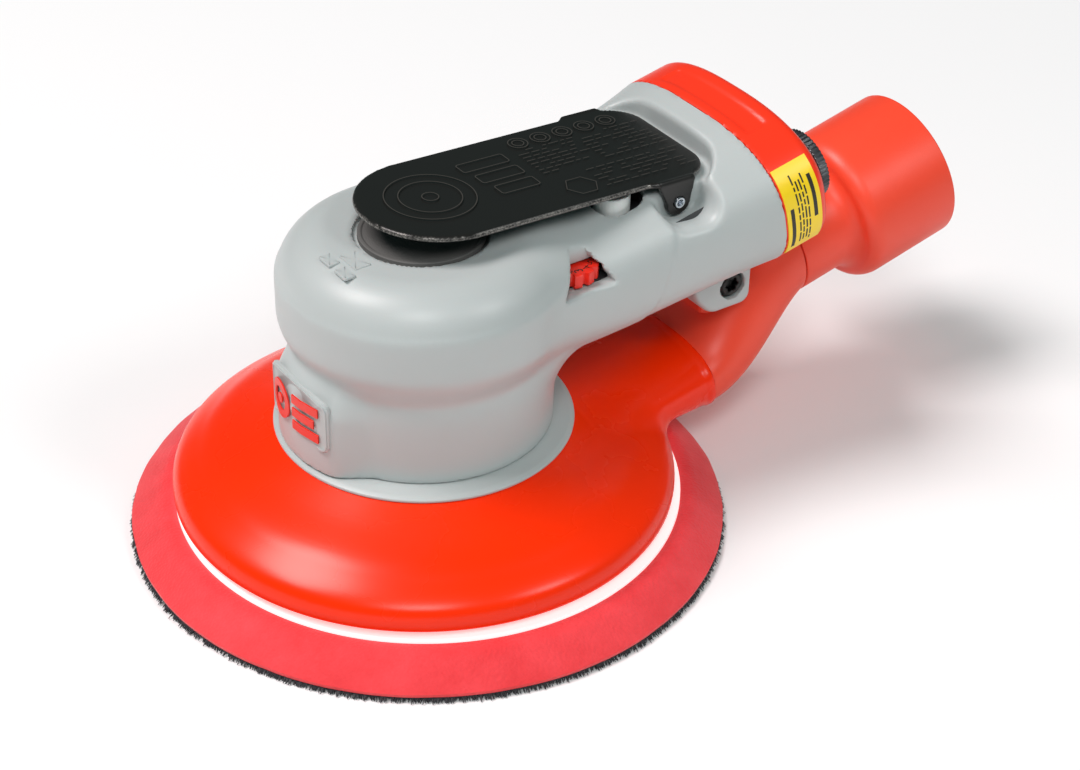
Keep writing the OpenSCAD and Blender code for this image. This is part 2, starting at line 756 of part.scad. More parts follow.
module dial_seal() {
    color(black) translate([dial_x, dial_y, dial_z - 3.95]) ring(barrel_d / 2 + running,
        barrel_d / 2 - 0.9 + running, 1.7);
}

// Air motor

module motor_cylinder() {
    color(steel) translate([0, 0, cylinder_z]) difference() {
        cylinder(h = cylinder_l, r = motor_r);
        translate([bore_offset, 0, -1]) cylinder(h = cylinder_l + 2, r = cylinder_bore_r);
        for (side = [-1, 1], z = [6, 10, 14]) rotate([0, 0, 38 * side]) translate([0, 0, z * cylinder_l / 20])
            rotate([0, 90, 0]) cylinder(h = 40, r = 1.6);
        translate([0, -motor_r + 2.2, -1]) cylinder(h = cylinder_l + 2, r = 1.25);
    }
}

module rear_endplate() {
    color([0.7, 0.71, 0.72]) difference() {
        union() {
            translate([0, 0, rear_z]) cylinder(h = rear_plate_t, r = motor_r);
            translate([0, 0, rear_z]) cylinder(h = pocket_top - 1 - rear_z, r = boss_r);
        }
        translate([0, 0, rear_z - 1]) cylinder(h = 20, r = tail_d / 2 + 3);
        translate([0, 0, rear_bearing_z]) cylinder(h = 20, r = rear_bearing_d / 2);
        translate([0, 0, rear_z + 1.2]) ring(motor_r + 1, motor_r - 1.2, 1.6);
        translate([0, -motor_r + 2.2, rear_z - 1]) cylinder(h = 2.2, r = 1.25);
    }
}

module front_endplate() {
    color([0.7, 0.71, 0.72]) difference() {
        translate([0, 0, front_z]) cylinder(h = front_bearing_h + front_plate_t, r = motor_r);
        translate([0, 0, front_z - 1]) cylinder(h = 30, r = shaft_d / 2 + 3);
        translate([0, 0, front_z - 1]) cylinder(h = front_bearing_h + 1, r = front_bearing_d / 2);
        translate([0, -motor_r + 2.2, cylinder_z - 1]) cylinder(h = 2.2, r = 1.25);
    }
}

module cylinder_pin() {
    color(steel) translate([0, -motor_r + 2.2, cylinder_z - 1]) cylinder(h = cylinder_l + 2, r = 1.25);
}

module motor_seal() {
    color(black) translate([0, 0, rear_z + 1.2]) ring(motor_bore_r, motor_r - 1.2, 1.6);
}

module rear_bearing() {
    color(steel) translate([0, 0, rear_bearing_z])
        bearing(rear_bearing_d / 2, tail_d / 2 + running, rear_bearing_h);
}

module front_bearing() {
    color(steel) translate([0, 0, front_z])
        bearing(front_bearing_d / 2, shaft_d / 2 + running, front_bearing_h);
}

module motor_lock_ring() {
    color([0.35, 0.35, 0.36]) translate([0, 0, front_z - 6]) difference() {
        ring(motor_bore_r + 0.5, balancer_r + 1.6, 6);
        for (a = [0:90:270]) rotate([0, 0, a]) translate([balancer_r + 1, -2, -1]) cube([2.4, 4, 3]);
    }
}

// Shaft with its eccentric balancer, rotor and spindle bearings

module shaft_balancer() {
    weight_r = flange_d / 2 - 7.2;
    weight_h = neck_base - 1.6 - balancer_base;
    color([0.55, 0.55, 0.57]) difference() {
        union() {
            translate([0, 0, balancer_base]) cylinder(h = balancer_top - balancer_base, r = balancer_r);
            translate([0, 0, balancer_base]) intersection() {
                cylinder(h = weight_h, r = weight_r);
                translate([-weight_r, 0, 0]) rotate([0, 0, 45])
                    cube([2 * weight_r, 2 * weight_r, 4 * weight_h], center = true);
            }
            cylinder_from(balancer_top, front_z, shaft_d / 2 + 2);
            cylinder_from(front_z, rear_z + 1, shaft_d / 2);
            cylinder_from(rear_z + 1, tail_top, tail_d / 2);
        }
        translate([orbit_r, 0, balancer_base - 1])
            cylinder(h = balancer_roof - balancer_base + 1, r = spindle_bearing_d / 2);
        translate([shaft_d / 2 - 1.2, -1.5, cylinder_z + 2]) cube([3, 3, cylinder_l - 4]);
        translate([0, 0, tail_top - 0.95]) ring(tail_d / 2 + 1, tail_d / 2 - 0.6, 0.7);
    }
}

module cylinder_from(z0, z1, r) {
    translate([0, 0, z0]) cylinder(h = z1 - z0, r = r);
}

module shaft_snap_ring() {
    color(steel) translate([0, 0, tail_top - 0.95]) ring(tail_d / 2 + 1, tail_d / 2 - 0.6, 0.7);
}

module rotor_key() {
    color(steel) translate([shaft_d / 2 - 1.2, -1.5, cylinder_z + 2]) cube([2.4, 3, cylinder_l - 4]);
}

vane_t = 1.7;
vane_w = 7.2;

module rotor() {
    color([0.6, 0.6, 0.62]) translate([0, 0, cylinder_z + slip]) difference() {
        cylinder(h = cylinder_l - 2 * slip, r = rotor_d / 2);
        translate([0, 0, -1]) cylinder(h = cylinder_l + 2, r = shaft_d / 2);
        translate([0, -1.5, 1.9]) cube([shaft_d / 2 + 1.2, 3, cylinder_l - 4]);
        for (i = [0:4]) rotate([0, 0, 36 + 72 * i])
            translate([rotor_d / 2 - vane_w - 0.4, -vane_t / 2 - 0.05, -1])
                cube([vane_w + 2, vane_t + 0.1, cylinder_l + 2]);
    }
}

module rotor_vanes() {
    color([0.35, 0.2, 0.12]) for (i = [0:4]) rotate([0, 0, 36 + 72 * i])
        translate([rotor_d / 2 - vane_w - 0.2, -vane_t / 2, cylinder_z + slip])
            cube([vane_w, vane_t, cylinder_l - 2 * slip]);
}

module spindle_bearings() {
    color(steel) for (i = [0, 1])
        translate([orbit_r, 0, spindle_bearing_z + i * (spindle_bearing_h + 0.02)])
            bearing(spindle_bearing_d / 2, spindle_d / 2 + running, spindle_bearing_h - 0.02);
}

module bearing_retainer() {
    color([0.35, 0.35, 0.36]) translate([orbit_r, 0, balancer_base])
        ring(spindle_bearing_d / 2, spindle_d / 2 + 2.5, retainer_t);
}

// Spindle and pad, which turn about the eccentric axis

module spindle() {
    color(steel) translate([orbit_r, 0, 0]) difference() {
        union() {
            cylinder_from(hub_top, hub_top + spindle_flange_t, spindle_d / 2 + 6);
            cylinder_from(hub_top + spindle_flange_t, spindle_bearing_z, spindle_d / 2 + 1.2);
            cylinder_from(spindle_bearing_z, spindle_top, spindle_d / 2);
        }
        translate([0, 0, hub_top - 1]) cylinder(h = 14, r = stud_d / 2);
        translate([0, 0, spindle_ring_z]) ring(spindle_d / 2 + 1, spindle_d / 2 - 0.8, 0.7);
        for (side = [-1, 1]) translate([side * (spindle_d / 2 + 9.5), 0, hub_top])
            cube([10, 40, 4 * spindle_flange_t], center = true);
    }
}

module spindle_ring() {
    color(steel) translate([orbit_r, 0, spindle_ring_z]) ring(spindle_d / 2 + 1.2, spindle_d / 2 - 0.8, 0.7);
}

module pad_stud() {
    color(steel) translate([orbit_r, 0, 0]) {
        cylinder_from(plate_base, hub_top + 12, stud_d / 2);
        cylinder_from(plate_base - 1.5, plate_base, stud_d / 2 + 5);
    }
}

module dust_holes() {
    for (i = [0:5]) rotate([0, 0, 30 + 60 * i]) translate([dust_pcd / 2, 0, -1])
        cylinder(h = hub_top + 2, r = dust_hole_d / 2);
}

module pad_plate() {
    color([0.93, 0.93, 0.92]) translate([orbit_r, 0, 0]) difference() {
        union() {
            cylinder_from(plate_base, plate_top, plate_d / 2);
            cylinder_from(plate_base, hub_top, hub_r);
        }
        translate([0, 0, -1]) cylinder(h = 40, r = stud_d / 2);
        dust_holes();
    }
}

module pad_foam() {
    color(soft_red) translate([orbit_r, 0, 0]) difference() {
        rotate_extrude($fn = 96) polygon([[0, hook_t], [pad_d / 2 - 0.4, hook_t], [pad_d / 2, hook_t + 0.9],
            [plate_d / 2 + 2.2, foam_top], [0, foam_top]]);
        translate([0, 0, plate_base]) cylinder(h = 20, r = plate_d / 2);
        translate([0, 0, plate_base - 1.5]) cylinder(h = 20, r = stud_d / 2 + 5);
        dust_holes();
    }
}

module hook_face() {
    color(black) translate([orbit_r, 0, 0]) difference() {
        cylinder(h = hook_t, r = pad_d / 2 - 0.4, $fn = 96);
        dust_holes();
    }
}

// Each sub-part by name

housing();
grip();
front_badge();
head_disc();
flange_ring();
shroud_ring();
shroud();
exhaust_tube();
tube_screw();
tube_nut();
end_cap();
cap_label();
inlet_bushing();
inlet_ring();
inlet_seal();
inlet_screen();
muffler();
lever_pin();
valve_seat();
valve_spring();
stem_bushing();
stem_seal();
dial_seal();
motor_cylinder();
rear_endplate();
front_endplate();
rear_bearing();
front_bearing();
motor_lock_ring();
motor_seal();
cylinder_pin();
throttle_lever();
valve_stem();
throttle_valve();
speed_dial();
shaft_balancer();
rotor();
rotor_vanes();
rotor_key();
shaft_snap_ring();
spindle_bearings();
bearing_retainer();
spindle();
spindle_ring();
pad_stud();
pad_plate();
pad_foam();
hook_face();
hose_cuff();
cuff_ring();
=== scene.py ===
# Palm-held air sander: a 150 mm foam pad under a dust shroud, a soft grey grip with a steel lever, and a
# swivelling hose cuff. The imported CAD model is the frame, and every piece is placed from it, in metres.
import json
import math
import bmesh
import bpy
import numpy as np
from mathutils import Matrix, Vector


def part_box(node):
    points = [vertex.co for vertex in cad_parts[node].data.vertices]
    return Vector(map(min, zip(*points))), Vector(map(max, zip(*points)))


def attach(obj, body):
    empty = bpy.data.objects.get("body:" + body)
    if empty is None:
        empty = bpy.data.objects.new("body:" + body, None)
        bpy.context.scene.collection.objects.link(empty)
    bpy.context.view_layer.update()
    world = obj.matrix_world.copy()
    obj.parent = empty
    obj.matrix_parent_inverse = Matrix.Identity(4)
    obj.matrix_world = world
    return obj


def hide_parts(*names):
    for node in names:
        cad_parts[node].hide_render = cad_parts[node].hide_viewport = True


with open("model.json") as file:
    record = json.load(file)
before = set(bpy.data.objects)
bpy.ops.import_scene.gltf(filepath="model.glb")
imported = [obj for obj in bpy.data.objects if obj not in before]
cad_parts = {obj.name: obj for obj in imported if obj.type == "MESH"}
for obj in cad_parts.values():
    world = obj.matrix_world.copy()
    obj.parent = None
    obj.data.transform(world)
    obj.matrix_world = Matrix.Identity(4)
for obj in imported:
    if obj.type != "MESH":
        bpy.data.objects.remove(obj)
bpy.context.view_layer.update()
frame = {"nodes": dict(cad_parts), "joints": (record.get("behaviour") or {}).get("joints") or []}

# ---------------------------------------------------------------------------------------------------
# Camera, floor and light. A white sweep in a dim studio, lit by a large soft box on the left and behind, a
# second one in front and a weak third on the right: a soft grey shadow falls to the right.
MM = 0.001
camera_turn, camera_rise, camera_roll = math.radians(-35.27), math.radians(33.99), math.radians(1.29)
camera_at = np.array([-252.52, -406.38, 360.68])
back = np.array([math.sin(camera_turn) * math.cos(camera_rise),
                 -math.cos(camera_turn) * math.cos(camera_rise), math.sin(camera_rise)])
across = np.array([math.cos(camera_turn), math.sin(camera_turn), 0.0])
upward = np.cross(back, across)
level_x = math.cos(camera_roll) * across + math.sin(camera_roll) * upward
level_y = -math.sin(camera_roll) * across + math.cos(camera_roll) * upward
camera_data = bpy.data.cameras.new("camera")
camera_data.sensor_width, camera_data.lens = 36.0, 78.26
camera_data.clip_start, camera_data.clip_end = 0.01, 20.0
camera = bpy.data.objects.new("camera", camera_data)
camera.matrix_world = Matrix([[level_x[i], level_y[i], back[i], camera_at[i] * MM] for i in range(3)]
                             + [[0, 0, 0, 1]])
bpy.context.scene.collection.objects.link(camera)
bpy.context.scene.camera = camera


def colour(hex_code):
    """sRGB hex to linear: each channel c becomes ((c + 0.055) / 1.055) ** 2.4, or c / 12.92 when dark."""
    parts = [int(hex_code[i:i + 2], 16) / 255 for i in (1, 3, 5)]
    return [c / 12.92 if c <= 0.04045 else ((c + 0.055) / 1.055) ** 2.4 for c in parts] + [1.0]


def add(material, kind, settings=None, links=None):
    """Adds one node, sets its attributes and sockets, and links sockets {input: (node, output)}."""
    node = material.node_tree.nodes.new("ShaderNode" + kind)
    for key, value in (settings or {}).items():
        if isinstance(key, str) and hasattr(node, key):
            setattr(node, key, value)
        else:
            node.inputs[key].default_value = value
    for key, (source, output) in (links or {}).items():
        material.node_tree.links.new(source.outputs[output], node.inputs[key])
    return node


def new_material(name):
    """An empty material with its Principled shader, its output and the object's own coordinates."""
    material = bpy.data.materials.new(name)
    material.use_nodes = True
    material.node_tree.nodes.clear()
    shader = add(material, "BsdfPrincipled")
    add(material, "OutputMaterial", links={"Surface": (shader, "BSDF")})
    place = add(material, "TexCoord")
    return material, shader, place


def connect(material, source, output, target, socket):
    material.node_tree.links.new(source.outputs[output], target.inputs[socket])


def noise(material, place, scale, detail):
    """A noise texture laid in the object's own coordinates."""
    return add(material, "TexNoise", {"Scale": scale, "Detail": detail}, {"Vector": (place, "Object")})


def two_tones(material, shader, one, other, source, output):
    """Mixes the shader's colour from two tones, by a node's value."""
    shade = add(material, "Mix", {"data_type": "RGBA", 6: colour(one), 7: colour(other)}, {0: (source, output)})
    connect(material, shade, 2, shader, "Base Color")


def dented(material, shader, strength, distance, source, output):
    """Dents the shader's surface by the height that a node gives."""
    dent = add(material, "Bump", {"Strength": strength, "Distance": distance}, {"Height": (source, output)})
    connect(material, dent, "Normal", shader, "Normal")


def area_light(name, at, to, size, watts, tint="#FFFFFF"):
    """A square soft box of one side size, standing at a point and facing another, in metres."""
    data = bpy.data.lights.new(name, "AREA")
    data.shape, data.size, data.energy = "SQUARE", size, watts
    data.color = colour(tint)[:3]
    light = bpy.data.objects.new(name, data)
    light.matrix_world = (Matrix.Translation(Vector(at))
                          @ (Vector(to) - Vector(at)).to_track_quat("-Z", "Y").to_matrix().to_4x4())
    bpy.context.scene.collection.objects.link(light)


area_light("key_box", (-1.36, 0.75, 2.68), (0.02, 0, 0.03), 1.2, 80.0, "#FFF6F6")
area_light("front_box", (-1.01, -1.45, 2.2), (0.02, 0, 0.04), 0.9, 25.0)
area_light("right_box", (1.0, -1.87, 1.9), (0.02, 0, 0.04), 0.7, 17.0)
world = bpy.data.worlds.new("studio")
world.use_nodes = True
world.node_tree.nodes.clear()
# The studio's walls give a dim, cool fill, and are seen as pale as the sweep.
fill = add(world, "Background", {"Color": colour("#BAF4F4"), "Strength": 0.11})
wall_paper = add(world, "Background", {"Color": colour("#F9F9F9"), "Strength": 1.0})
ray = add(world, "LightPath")
walls = add(world, "MixShader",
            links={0: (ray, "Is Camera Ray"), 1: (fill, "Background"), 2: (wall_paper, "Background")})
add(world, "OutputWorld", links={"Surface": (walls, "Shader")})
bpy.context.scene.world = world
bpy.context.scene.view_settings.view_transform = "Standard"

floor_mesh = bpy.data.meshes.new("floor")
floor_mesh.from_pydata([(-3, -3, 0), (3, -3, 0), (3, 3, 0), (-3, 3, 0)], [], [(0, 1, 2, 3)])
floor = bpy.data.objects.new("floor", floor_mesh)
bpy.context.scene.collection.objects.link(floor)
# Painted white sweep: matt, with a trace of unevenness that keeps the shadow from looking drawn.
paper, shader, place = new_material("white_sweep")
shader.inputs["Roughness"].default_value = 0.85
drift = noise(paper, place, 3.0, 2.0)
tone = add(paper, "ValToRGB", links={"Fac": (drift, "Fac")})
tone.color_ramp.elements[0].color, tone.color_ramp.elements[1].color = colour("#F4F4F4"), colour("#F9F9F9")
connect(paper, tone, "Color", shader, "Base Color")
floor_mesh.materials.append(paper)


def node_ends(name):
    """Lowest and highest corner of a CAD node, in millimetres."""
    low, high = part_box(name)
    return np.array(low) / MM, np.array(high) / MM


def piece_of(name, points, faces, material, angle=35.0, weld=False):
    """Makes a mesh object from points in millimetres and faces, smooth except over edges sharper than angle."""
    mesh = bpy.data.meshes.new(name)
    mesh.from_pydata((np.asarray(points) * MM).tolist(), [], np.asarray(faces).tolist())
    if weld:
        work = bmesh.new()
        work.from_mesh(mesh)
        bmesh.ops.remove_doubles(work, verts=work.verts, dist=1e-6)
        bmesh.ops.dissolve_degenerate(work, edges=work.edges, dist=1e-7)
        bmesh.ops.recalc_face_normals(work, faces=work.faces)
        work.to_mesh(mesh)
        work.free()
    mesh.validate()
    mesh.shade_smooth()
    mesh.set_sharp_from_angle(angle=math.radians(angle))
    mesh.materials.append(material)
    piece = bpy.data.objects.new(name, mesh)
    bpy.context.scene.collection.objects.link(piece)
    return piece


def fit(piece, body, slot, *nodes):
    """The piece rides on a CAD body and stands for the CAD nodes named; slot is not used."""
    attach(piece, body)
    if nodes:
        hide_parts(*nodes)
    return piece


def welded(name, points, faces, material, angle, body, slot, *nodes):
    """A piece whose points that meet are made one, fitted to its body and CAD nodes; slot is not used."""
    return fit(piece_of(name, points, faces, material, angle, weld=True), body, slot, *nodes)


def quads(rows, columns, first=0):
    """Faces of a grid of rows x columns points whose columns close on themselves."""
    r, c = np.meshgrid(np.arange(rows - 1), np.arange(columns), indexing="ij")
    n = (c + 1) % columns
    return first + np.stack([r * columns + c, r * columns + n, (r + 1) * columns + n, (r + 1) * columns + c],
                            -1).reshape(-1, 4)


def turned(profile, steps=128, reach=None):
    """A profile of (radius, height) carried round the Z axis; reach(angle, radius, height) may give a new radius."""
    profile = np.asarray(profile, float)
    angle = np.arange(steps) * 2 * math.pi / steps
    radius, height = np.repeat(profile[:, :1], steps, 1), np.repeat(profile[:, 1:], steps, 1)
    if reach is not None:
        radius = reach(np.broadcast_to(angle, radius.shape), radius, height)
    points = np.stack([radius * np.cos(angle), radius * np.sin(angle), height], -1)
    return points.reshape(-1, 3), quads(len(profile), steps)


def together(parts):
    """Several (points, faces) made one: each part's faces count on from the points before it."""
    first = np.cumsum([0] + [len(points) for points, _ in parts[:-1]])
    return np.concatenate([points for points, _ in parts]), np.concatenate(
        [faces + n for (_, faces), n in zip(parts, first)])


def rounded(corners, radius, steps=5):
    """A profile whose inner corners are replaced by arcs: each is a quadratic curve between two points
    that lie radius away from the corner along its two sides."""
    corners = [np.array(c, float) for c in corners]
    out = [corners[0]]
    for before, corner, after in zip(corners, corners[1:], corners[2:]):
        r = min(radius, 0.49 * np.linalg.norm(before - corner), 0.49 * np.linalg.norm(after - corner))
        a = corner + (before - corner) / np.linalg.norm(before - corner) * r
        b = corner + (after - corner) / np.linalg.norm(after - corner) * r
        t = np.linspace(0, 1, steps)[:, None]
        out += list((1 - t) ** 2 * a + 2 * t * (1 - t) * corner + t ** 2 * b)
    return np.array(out + [corners[-1]])


def moved(points, at=(0, 0, 0), tilt=0.0, lay=False):
    """Points moved to a place: first laid so that their Z axis runs along X, then tilted up at the +X end."""
    points = np.asarray(points, float)
    if lay:
        points = np.stack([points[:, 2], points[:, 1], -points[:, 0]], -1)
    c, s = math.cos(tilt), math.sin(tilt)
    return np.stack([points[:, 0] * c - points[:, 2] * s, points[:, 1],
                     points[:, 0] * s + points[:, 2] * c], -1) + np.asarray(at, float)


# ---------------------------------------------------------------------------------------------------
# Steel parts of the motor and spindle. Turned and ground bearing steel, with fine marks that run round
# the axis and a thin film of oil; they stay as the CAD gives them, inside the body.
def metal(name, hex_code, roughness, grain_mm, bump, dark="#000000", wear=0.35):
    """Bare or plated metal: fine streaks across its axis, cloudy roughness and a few darker worn spots."""
    made, shader, place = new_material(name)
    stretch = add(made, "Mapping", {"Scale": (1.0, 1.0, 12.0)}, {"Vector": (place, "Object")})
    streak = add(made, "TexNoise", {"Scale": 1 / (grain_mm * MM), "Detail": 4.0}, {"Vector": (stretch, "Vector")})
    cloud = noise(made, place, 180.0, 3.0)
    spread = add(made, "MapRange", {"To Min": roughness * 0.75, "To Max": roughness * 1.3}, {"Value": (cloud, "Fac")})
    amount = add(made, "MapRange", {"From Min": 0.45, "From Max": 0.75, "To Max": wear}, {"Value": (cloud, "Fac")})
    two_tones(made, shader, hex_code, dark, amount, "Result")
    connect(made, spread, "Result", shader, "Roughness")
    dented(made, shader, bump, 0.0001, streak, "Fac")
    shader.inputs["Metallic"].default_value = 1.0
    return made


def plastic(name, hex_code, roughness, grain_mm, bump, other, ior=1.5, level=0.5, scatter=0.0):
    """Moulded plastic or rubber: a spark-eroded grain, slow colour drift between two near tones, and
    roughness that varies in clouds."""
    made, shader, place = new_material(name)
    grain = noise(made, place, 1 / (grain_mm * MM), 3.0)
    cloud = noise(made, place, 42.0, 4.0)
    two_tones(made, shader, hex_code, other, cloud, "Fac")
    spread = add(made, "MapRange", {"To Min": roughness * 0.85, "To Max": roughness * 1.15},
                 {"Value": (cloud, "Fac")})
    connect(made, spread, "Result", shader, "Roughness")
    dented(made, shader, bump, 0.00012, grain, "Fac")
    shader.inputs["IOR"].default_value = ior
    shader.inputs["Specular IOR Level"].default_value = level
    shader.inputs["Subsurface Weight"].default_value = scatter
    shader.inputs["Subsurface Radius"].default_value = (0.004, 0.0012, 0.0008)
    shader.inputs["Subsurface Scale"].default_value = 0.5
    return made


def dress(material, *names):
    """Gives CAD nodes that stay in view a material."""
    for name in names:
        for slot in frame["nodes"][name].material_slots:
            slot.material = material


ground_steel = metal("ground_bearing_steel", "#B9BABC", 0.26, 0.25, 0.25, "#6E6A62")
dress(ground_steel, "motor_cylinder", "rear_bearing", "front_bearing", "cylinder_pin", "shaft_balancer", "rotor",
      "rotor_key", "shaft_snap_ring", "spindle_bearings", "spindle", "spindle_ring", "pad_stud", "shroud_ring",
      "valve_stem", "valve_spring", "inlet_screen")

# Motor endplates. Cast aluminium, faced on a lathe: paler and duller than the steel.
cast_aluminium = metal("faced_cast_aluminium", "#C4C6C8", 0.38, 0.4, 0.3, "#8C8E90")
dress(cast_aluminium, "rear_endplate", "front_endplate")

# Lock ring and bearing retainer. Steel under a black oxide, worn grey on its tool notches.
black_oxide = metal("black_oxide_steel", "#3A3B3D", 0.42, 0.3, 0.3, "#15161A", 0.8)
dress(black_oxide, "motor_lock_ring", "bearing_retainer")

# Valve seat. Free-cutting brass, turned.
turned_brass = metal("turned_brass", "#D2A75A", 0.24, 0.2, 0.25, "#8A6A30")
dress(turned_brass, "valve_seat")

# Silencer. Sintered polyethylene: open-grained, ivory, fully matt, seen through the cap's slots.
sinter = plastic("sintered_polyethylene", "#D9D6CA", 0.9, 0.5, 1.0, "#C9C5B6")
dress(sinter, "muffler")

# Rotor vanes. Phenolic cloth laminate, brown with a fine weave.
laminate = plastic("phenolic_laminate", "#5A3A26", 0.55, 0.35, 0.5, "#442A1B")
dress(laminate, "rotor_vanes")

# O-rings, the valve's rubber face and the dial's seal. Black nitrile rubber, moulded, slightly greased.
nitrile = plastic("nitrile_rubber", "#1B1B1C", 0.5, 0.3, 0.2, "#26262A", 1.52)
dress(nitrile, "inlet_seal", "stem_seal", "dial_seal", "motor_seal", "cuff_ring", "throttle_valve")

# Motor housing under the grip. Glass-filled nylon, moulded, charcoal: fibres show as pale flecks.
filled_nylon = plastic("glass_filled_nylon", "#2A2B2D", 0.55, 0.45, 0.5, "#3B3C3E", 1.53)
dress(filled_nylon, "housing")

# ---------------------------------------------------------------------------------------------------
# Hook sheet under the pad. Woven nylon backing, 0.75 mm, bonded to the foam, with rows of charcoal hooks
# that grip a sanding disc, drawn fewer and larger than real ones; cut fibres fray round its edge. Six dust
# holes pass through it.
def rounded_max(a, b, r):
    """Two solids' common part with its edge rounded: beyond both faces by less than r, the distance is
    that from a circle of radius r laid against them."""
    return np.minimum(np.maximum(a, b), -r) + np.hypot(np.maximum(a + r, 0), np.maximum(b + r, 0))


def rounded_min(a, b, r):
    """Two solids joined with a fillet of radius r: the same rule seen from outside."""
    return -rounded_max(-a, -b, r)


def polar(points):
    """(radius, angle, height) to (x, y, z)."""
    return np.stack([points[:, 0] * np.cos(points[:, 1]), points[:, 0] * np.sin(points[:, 1]), points[:, 2]], -1)


def skin(name, axes, solid, material, chart=None, place=None, close=False, angle=40.0, steps=3):
    """Skin of a solid whose function is negative inside, found on a grid of three parameters.
    Each cell that the skin crosses gets one point, the mean of where it cuts the cell's edges; the four
    cells round a cut edge make one face. Points then move along the function's gradient to its zero."""
    chart = chart or (lambda p: p)
    grid = np.stack(np.meshgrid(*axes, indexing="ij"), -1)
    value = solid(chart(grid.reshape(-1, 3))).reshape(grid.shape[:3])
    inside, size = value < 0, np.array(value.shape) - 1

    def part(whole, o):
        return whole[o[0]:o[0] + size[0], o[1]:o[1] + size[1], o[2]:o[2] + size[2]]

    corners = np.array([(i, j, k) for i in (0, 1) for j in (0, 1) for k in (0, 1)])
    full = sum(part(inside, o).astype(np.int8) for o in corners)
    cells = np.argwhere((full > 0) & (full < 8))
    number = np.full(size, -1)
    number[tuple(cells.T)] = np.arange(len(cells))
    v = np.stack([value[tuple((cells + o).T)] for o in corners], 1)
    g = np.stack([grid[tuple((cells + o).T)] for o in corners], 1)
    p, q = np.array([(0, 1), (2, 3), (4, 5), (6, 7), (0, 2), (1, 3), (4, 6), (5, 7),
                     (0, 4), (1, 5), (2, 6), (3, 7)]).T
    cut = (v[:, p] < 0) != (v[:, q] < 0)
    t = (v[:, p] / np.where(cut, v[:, p] - v[:, q], 1))[..., None]
    points = ((g[:, p] * (1 - t) + g[:, q] * t) * cut[..., None]).sum(1) / cut.sum(1)[:, None]
    faces = []
    for axis in range(3):
        b, c = (axis + 1) % 3, (axis + 2) % 3
        here, there = part(inside, (0, 0, 0)), part(inside, np.eye(3, dtype=int)[axis])
        around = np.stack([np.roll(np.roll(number, 1, b), 1, c), np.roll(number, 1, c), number,
                           np.roll(number, 1, b)], -1)
        faces += [around[here & ~there], around[~here & there][:, ::-1]]
    faces = np.concatenate(faces)
    faces = faces[(faces >= 0).all(1)]
    points = chart(points)
    e, least_slope, longest_step = 0.02, 0.05, 0.35
    for _ in range(steps):
        f = solid(points)
        slope = np.stack([solid(points + e * axis) - solid(points - e * axis) for axis in np.eye(3)], -1) / (2 * e)
        move = -(f / np.maximum((slope ** 2).sum(1), least_slope))[:, None] * slope
        points = points + np.clip(move, -longest_step, longest_step)
    if place is not None:
        points = place(points)
    piece = piece_of(name, points, faces, material, angle)
    if close:
        work = bmesh.new()
        work.from_mesh(piece.data)
        bmesh.ops.holes_fill(work, edges=[e for e in work.edges if e.is_boundary])
        work.to_mesh(piece.data)
        work.free()
    return piece


pad_low, pad_high = node_ends("pad_foam")
pad_r = (pad_high[1] - pad_low[1]) / 2
pad_x = (pad_high[0] + pad_low[0]) / 2
hook_low, hook_high = node_ends("hook_face")
hook_r = (hook_high[1] - hook_low[1]) / 2
backing = 0.75
hole_ring, hole_r = 40.0, 4.5
hole_angles = np.radians(30 + 60 * np.arange(6))
hole_at = np.stack([pad_x + hole_ring * np.cos(hole_angles), hole_ring * np.sin(hole_angles)], -1)


def from_holes(points):
    """Distance to the nearest dust hole's wall, negative inside the hole."""
    return np.min([np.hypot(points[:, 0] - x, points[:, 1] - y) for x, y in hole_at], 0) - hole_r


def round_pad(points):
    """(radius, angle, height) about the pad's own axis to (x, y, z)."""
    return polar(points) + np.array([pad_x, 0, 0])


def hook_backing(p):
    r = np.hypot(p[:, 0] - pad_x, p[:, 1])
    angle = np.arctan2(p[:, 1], p[:, 0] - pad_x)
    frayed = 0.12 * np.sin(31 * angle + 1.0) + 0.1 * np.sin(57 * angle) + 0.08 * np.sin(113 * angle + 2.0)
    flat = np.abs(p[:, 2] - (hook_high[2] - backing / 2)) - backing / 2
    return rounded_max(np.maximum(r - hook_r + 0.25 + frayed, flat), -from_holes(p), 0.1)


turn = np.linspace(0, 2 * math.pi, 361)
# Woven nylon: two sets of threads, 0.5 mm apart, charcoal and fully matt with a faint sheen.
weave, shader, place = new_material("woven_hook_nylon")
warp = add(weave, "TexWave", {"wave_type": "BANDS", "bands_direction": "X", "Scale": 320.0, "Distortion": 1.0},
           {"Vector": (place, "Object")})
weft = add(weave, "TexWave", {"wave_type": "BANDS", "bands_direction": "Y", "Scale": 320.0, "Distortion": 1.0},
           {"Vector": (place, "Object")})
cloth = add(weave, "Math", {"operation": "MULTIPLY"}, {0: (warp, "Fac"), 1: (weft, "Fac")})
shade = add(weave, "ValToRGB", links={"Fac": (cloth, "Value")})
shade.color_ramp.elements[0].color, shade.color_ramp.elements[1].color = colour("#161617"), colour("#3A3A3C")
connect(weave, shade, "Color", shader, "Base Color")
dented(weave, shader, 0.6, 0.0002, cloth, "Value")
shader.inputs["Roughness"].default_value = 0.95
shader.inputs["Sheen Weight"].default_value = 0.15
hook_sheet = skin("hook_sheet", (np.arange(0, 76, 1.25), turn, np.arange(0.4, 2.0, 0.25)), hook_backing, weave,
                  round_pad, close=True, steps=2)
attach(hook_sheet, "pad")
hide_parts("hook_face")

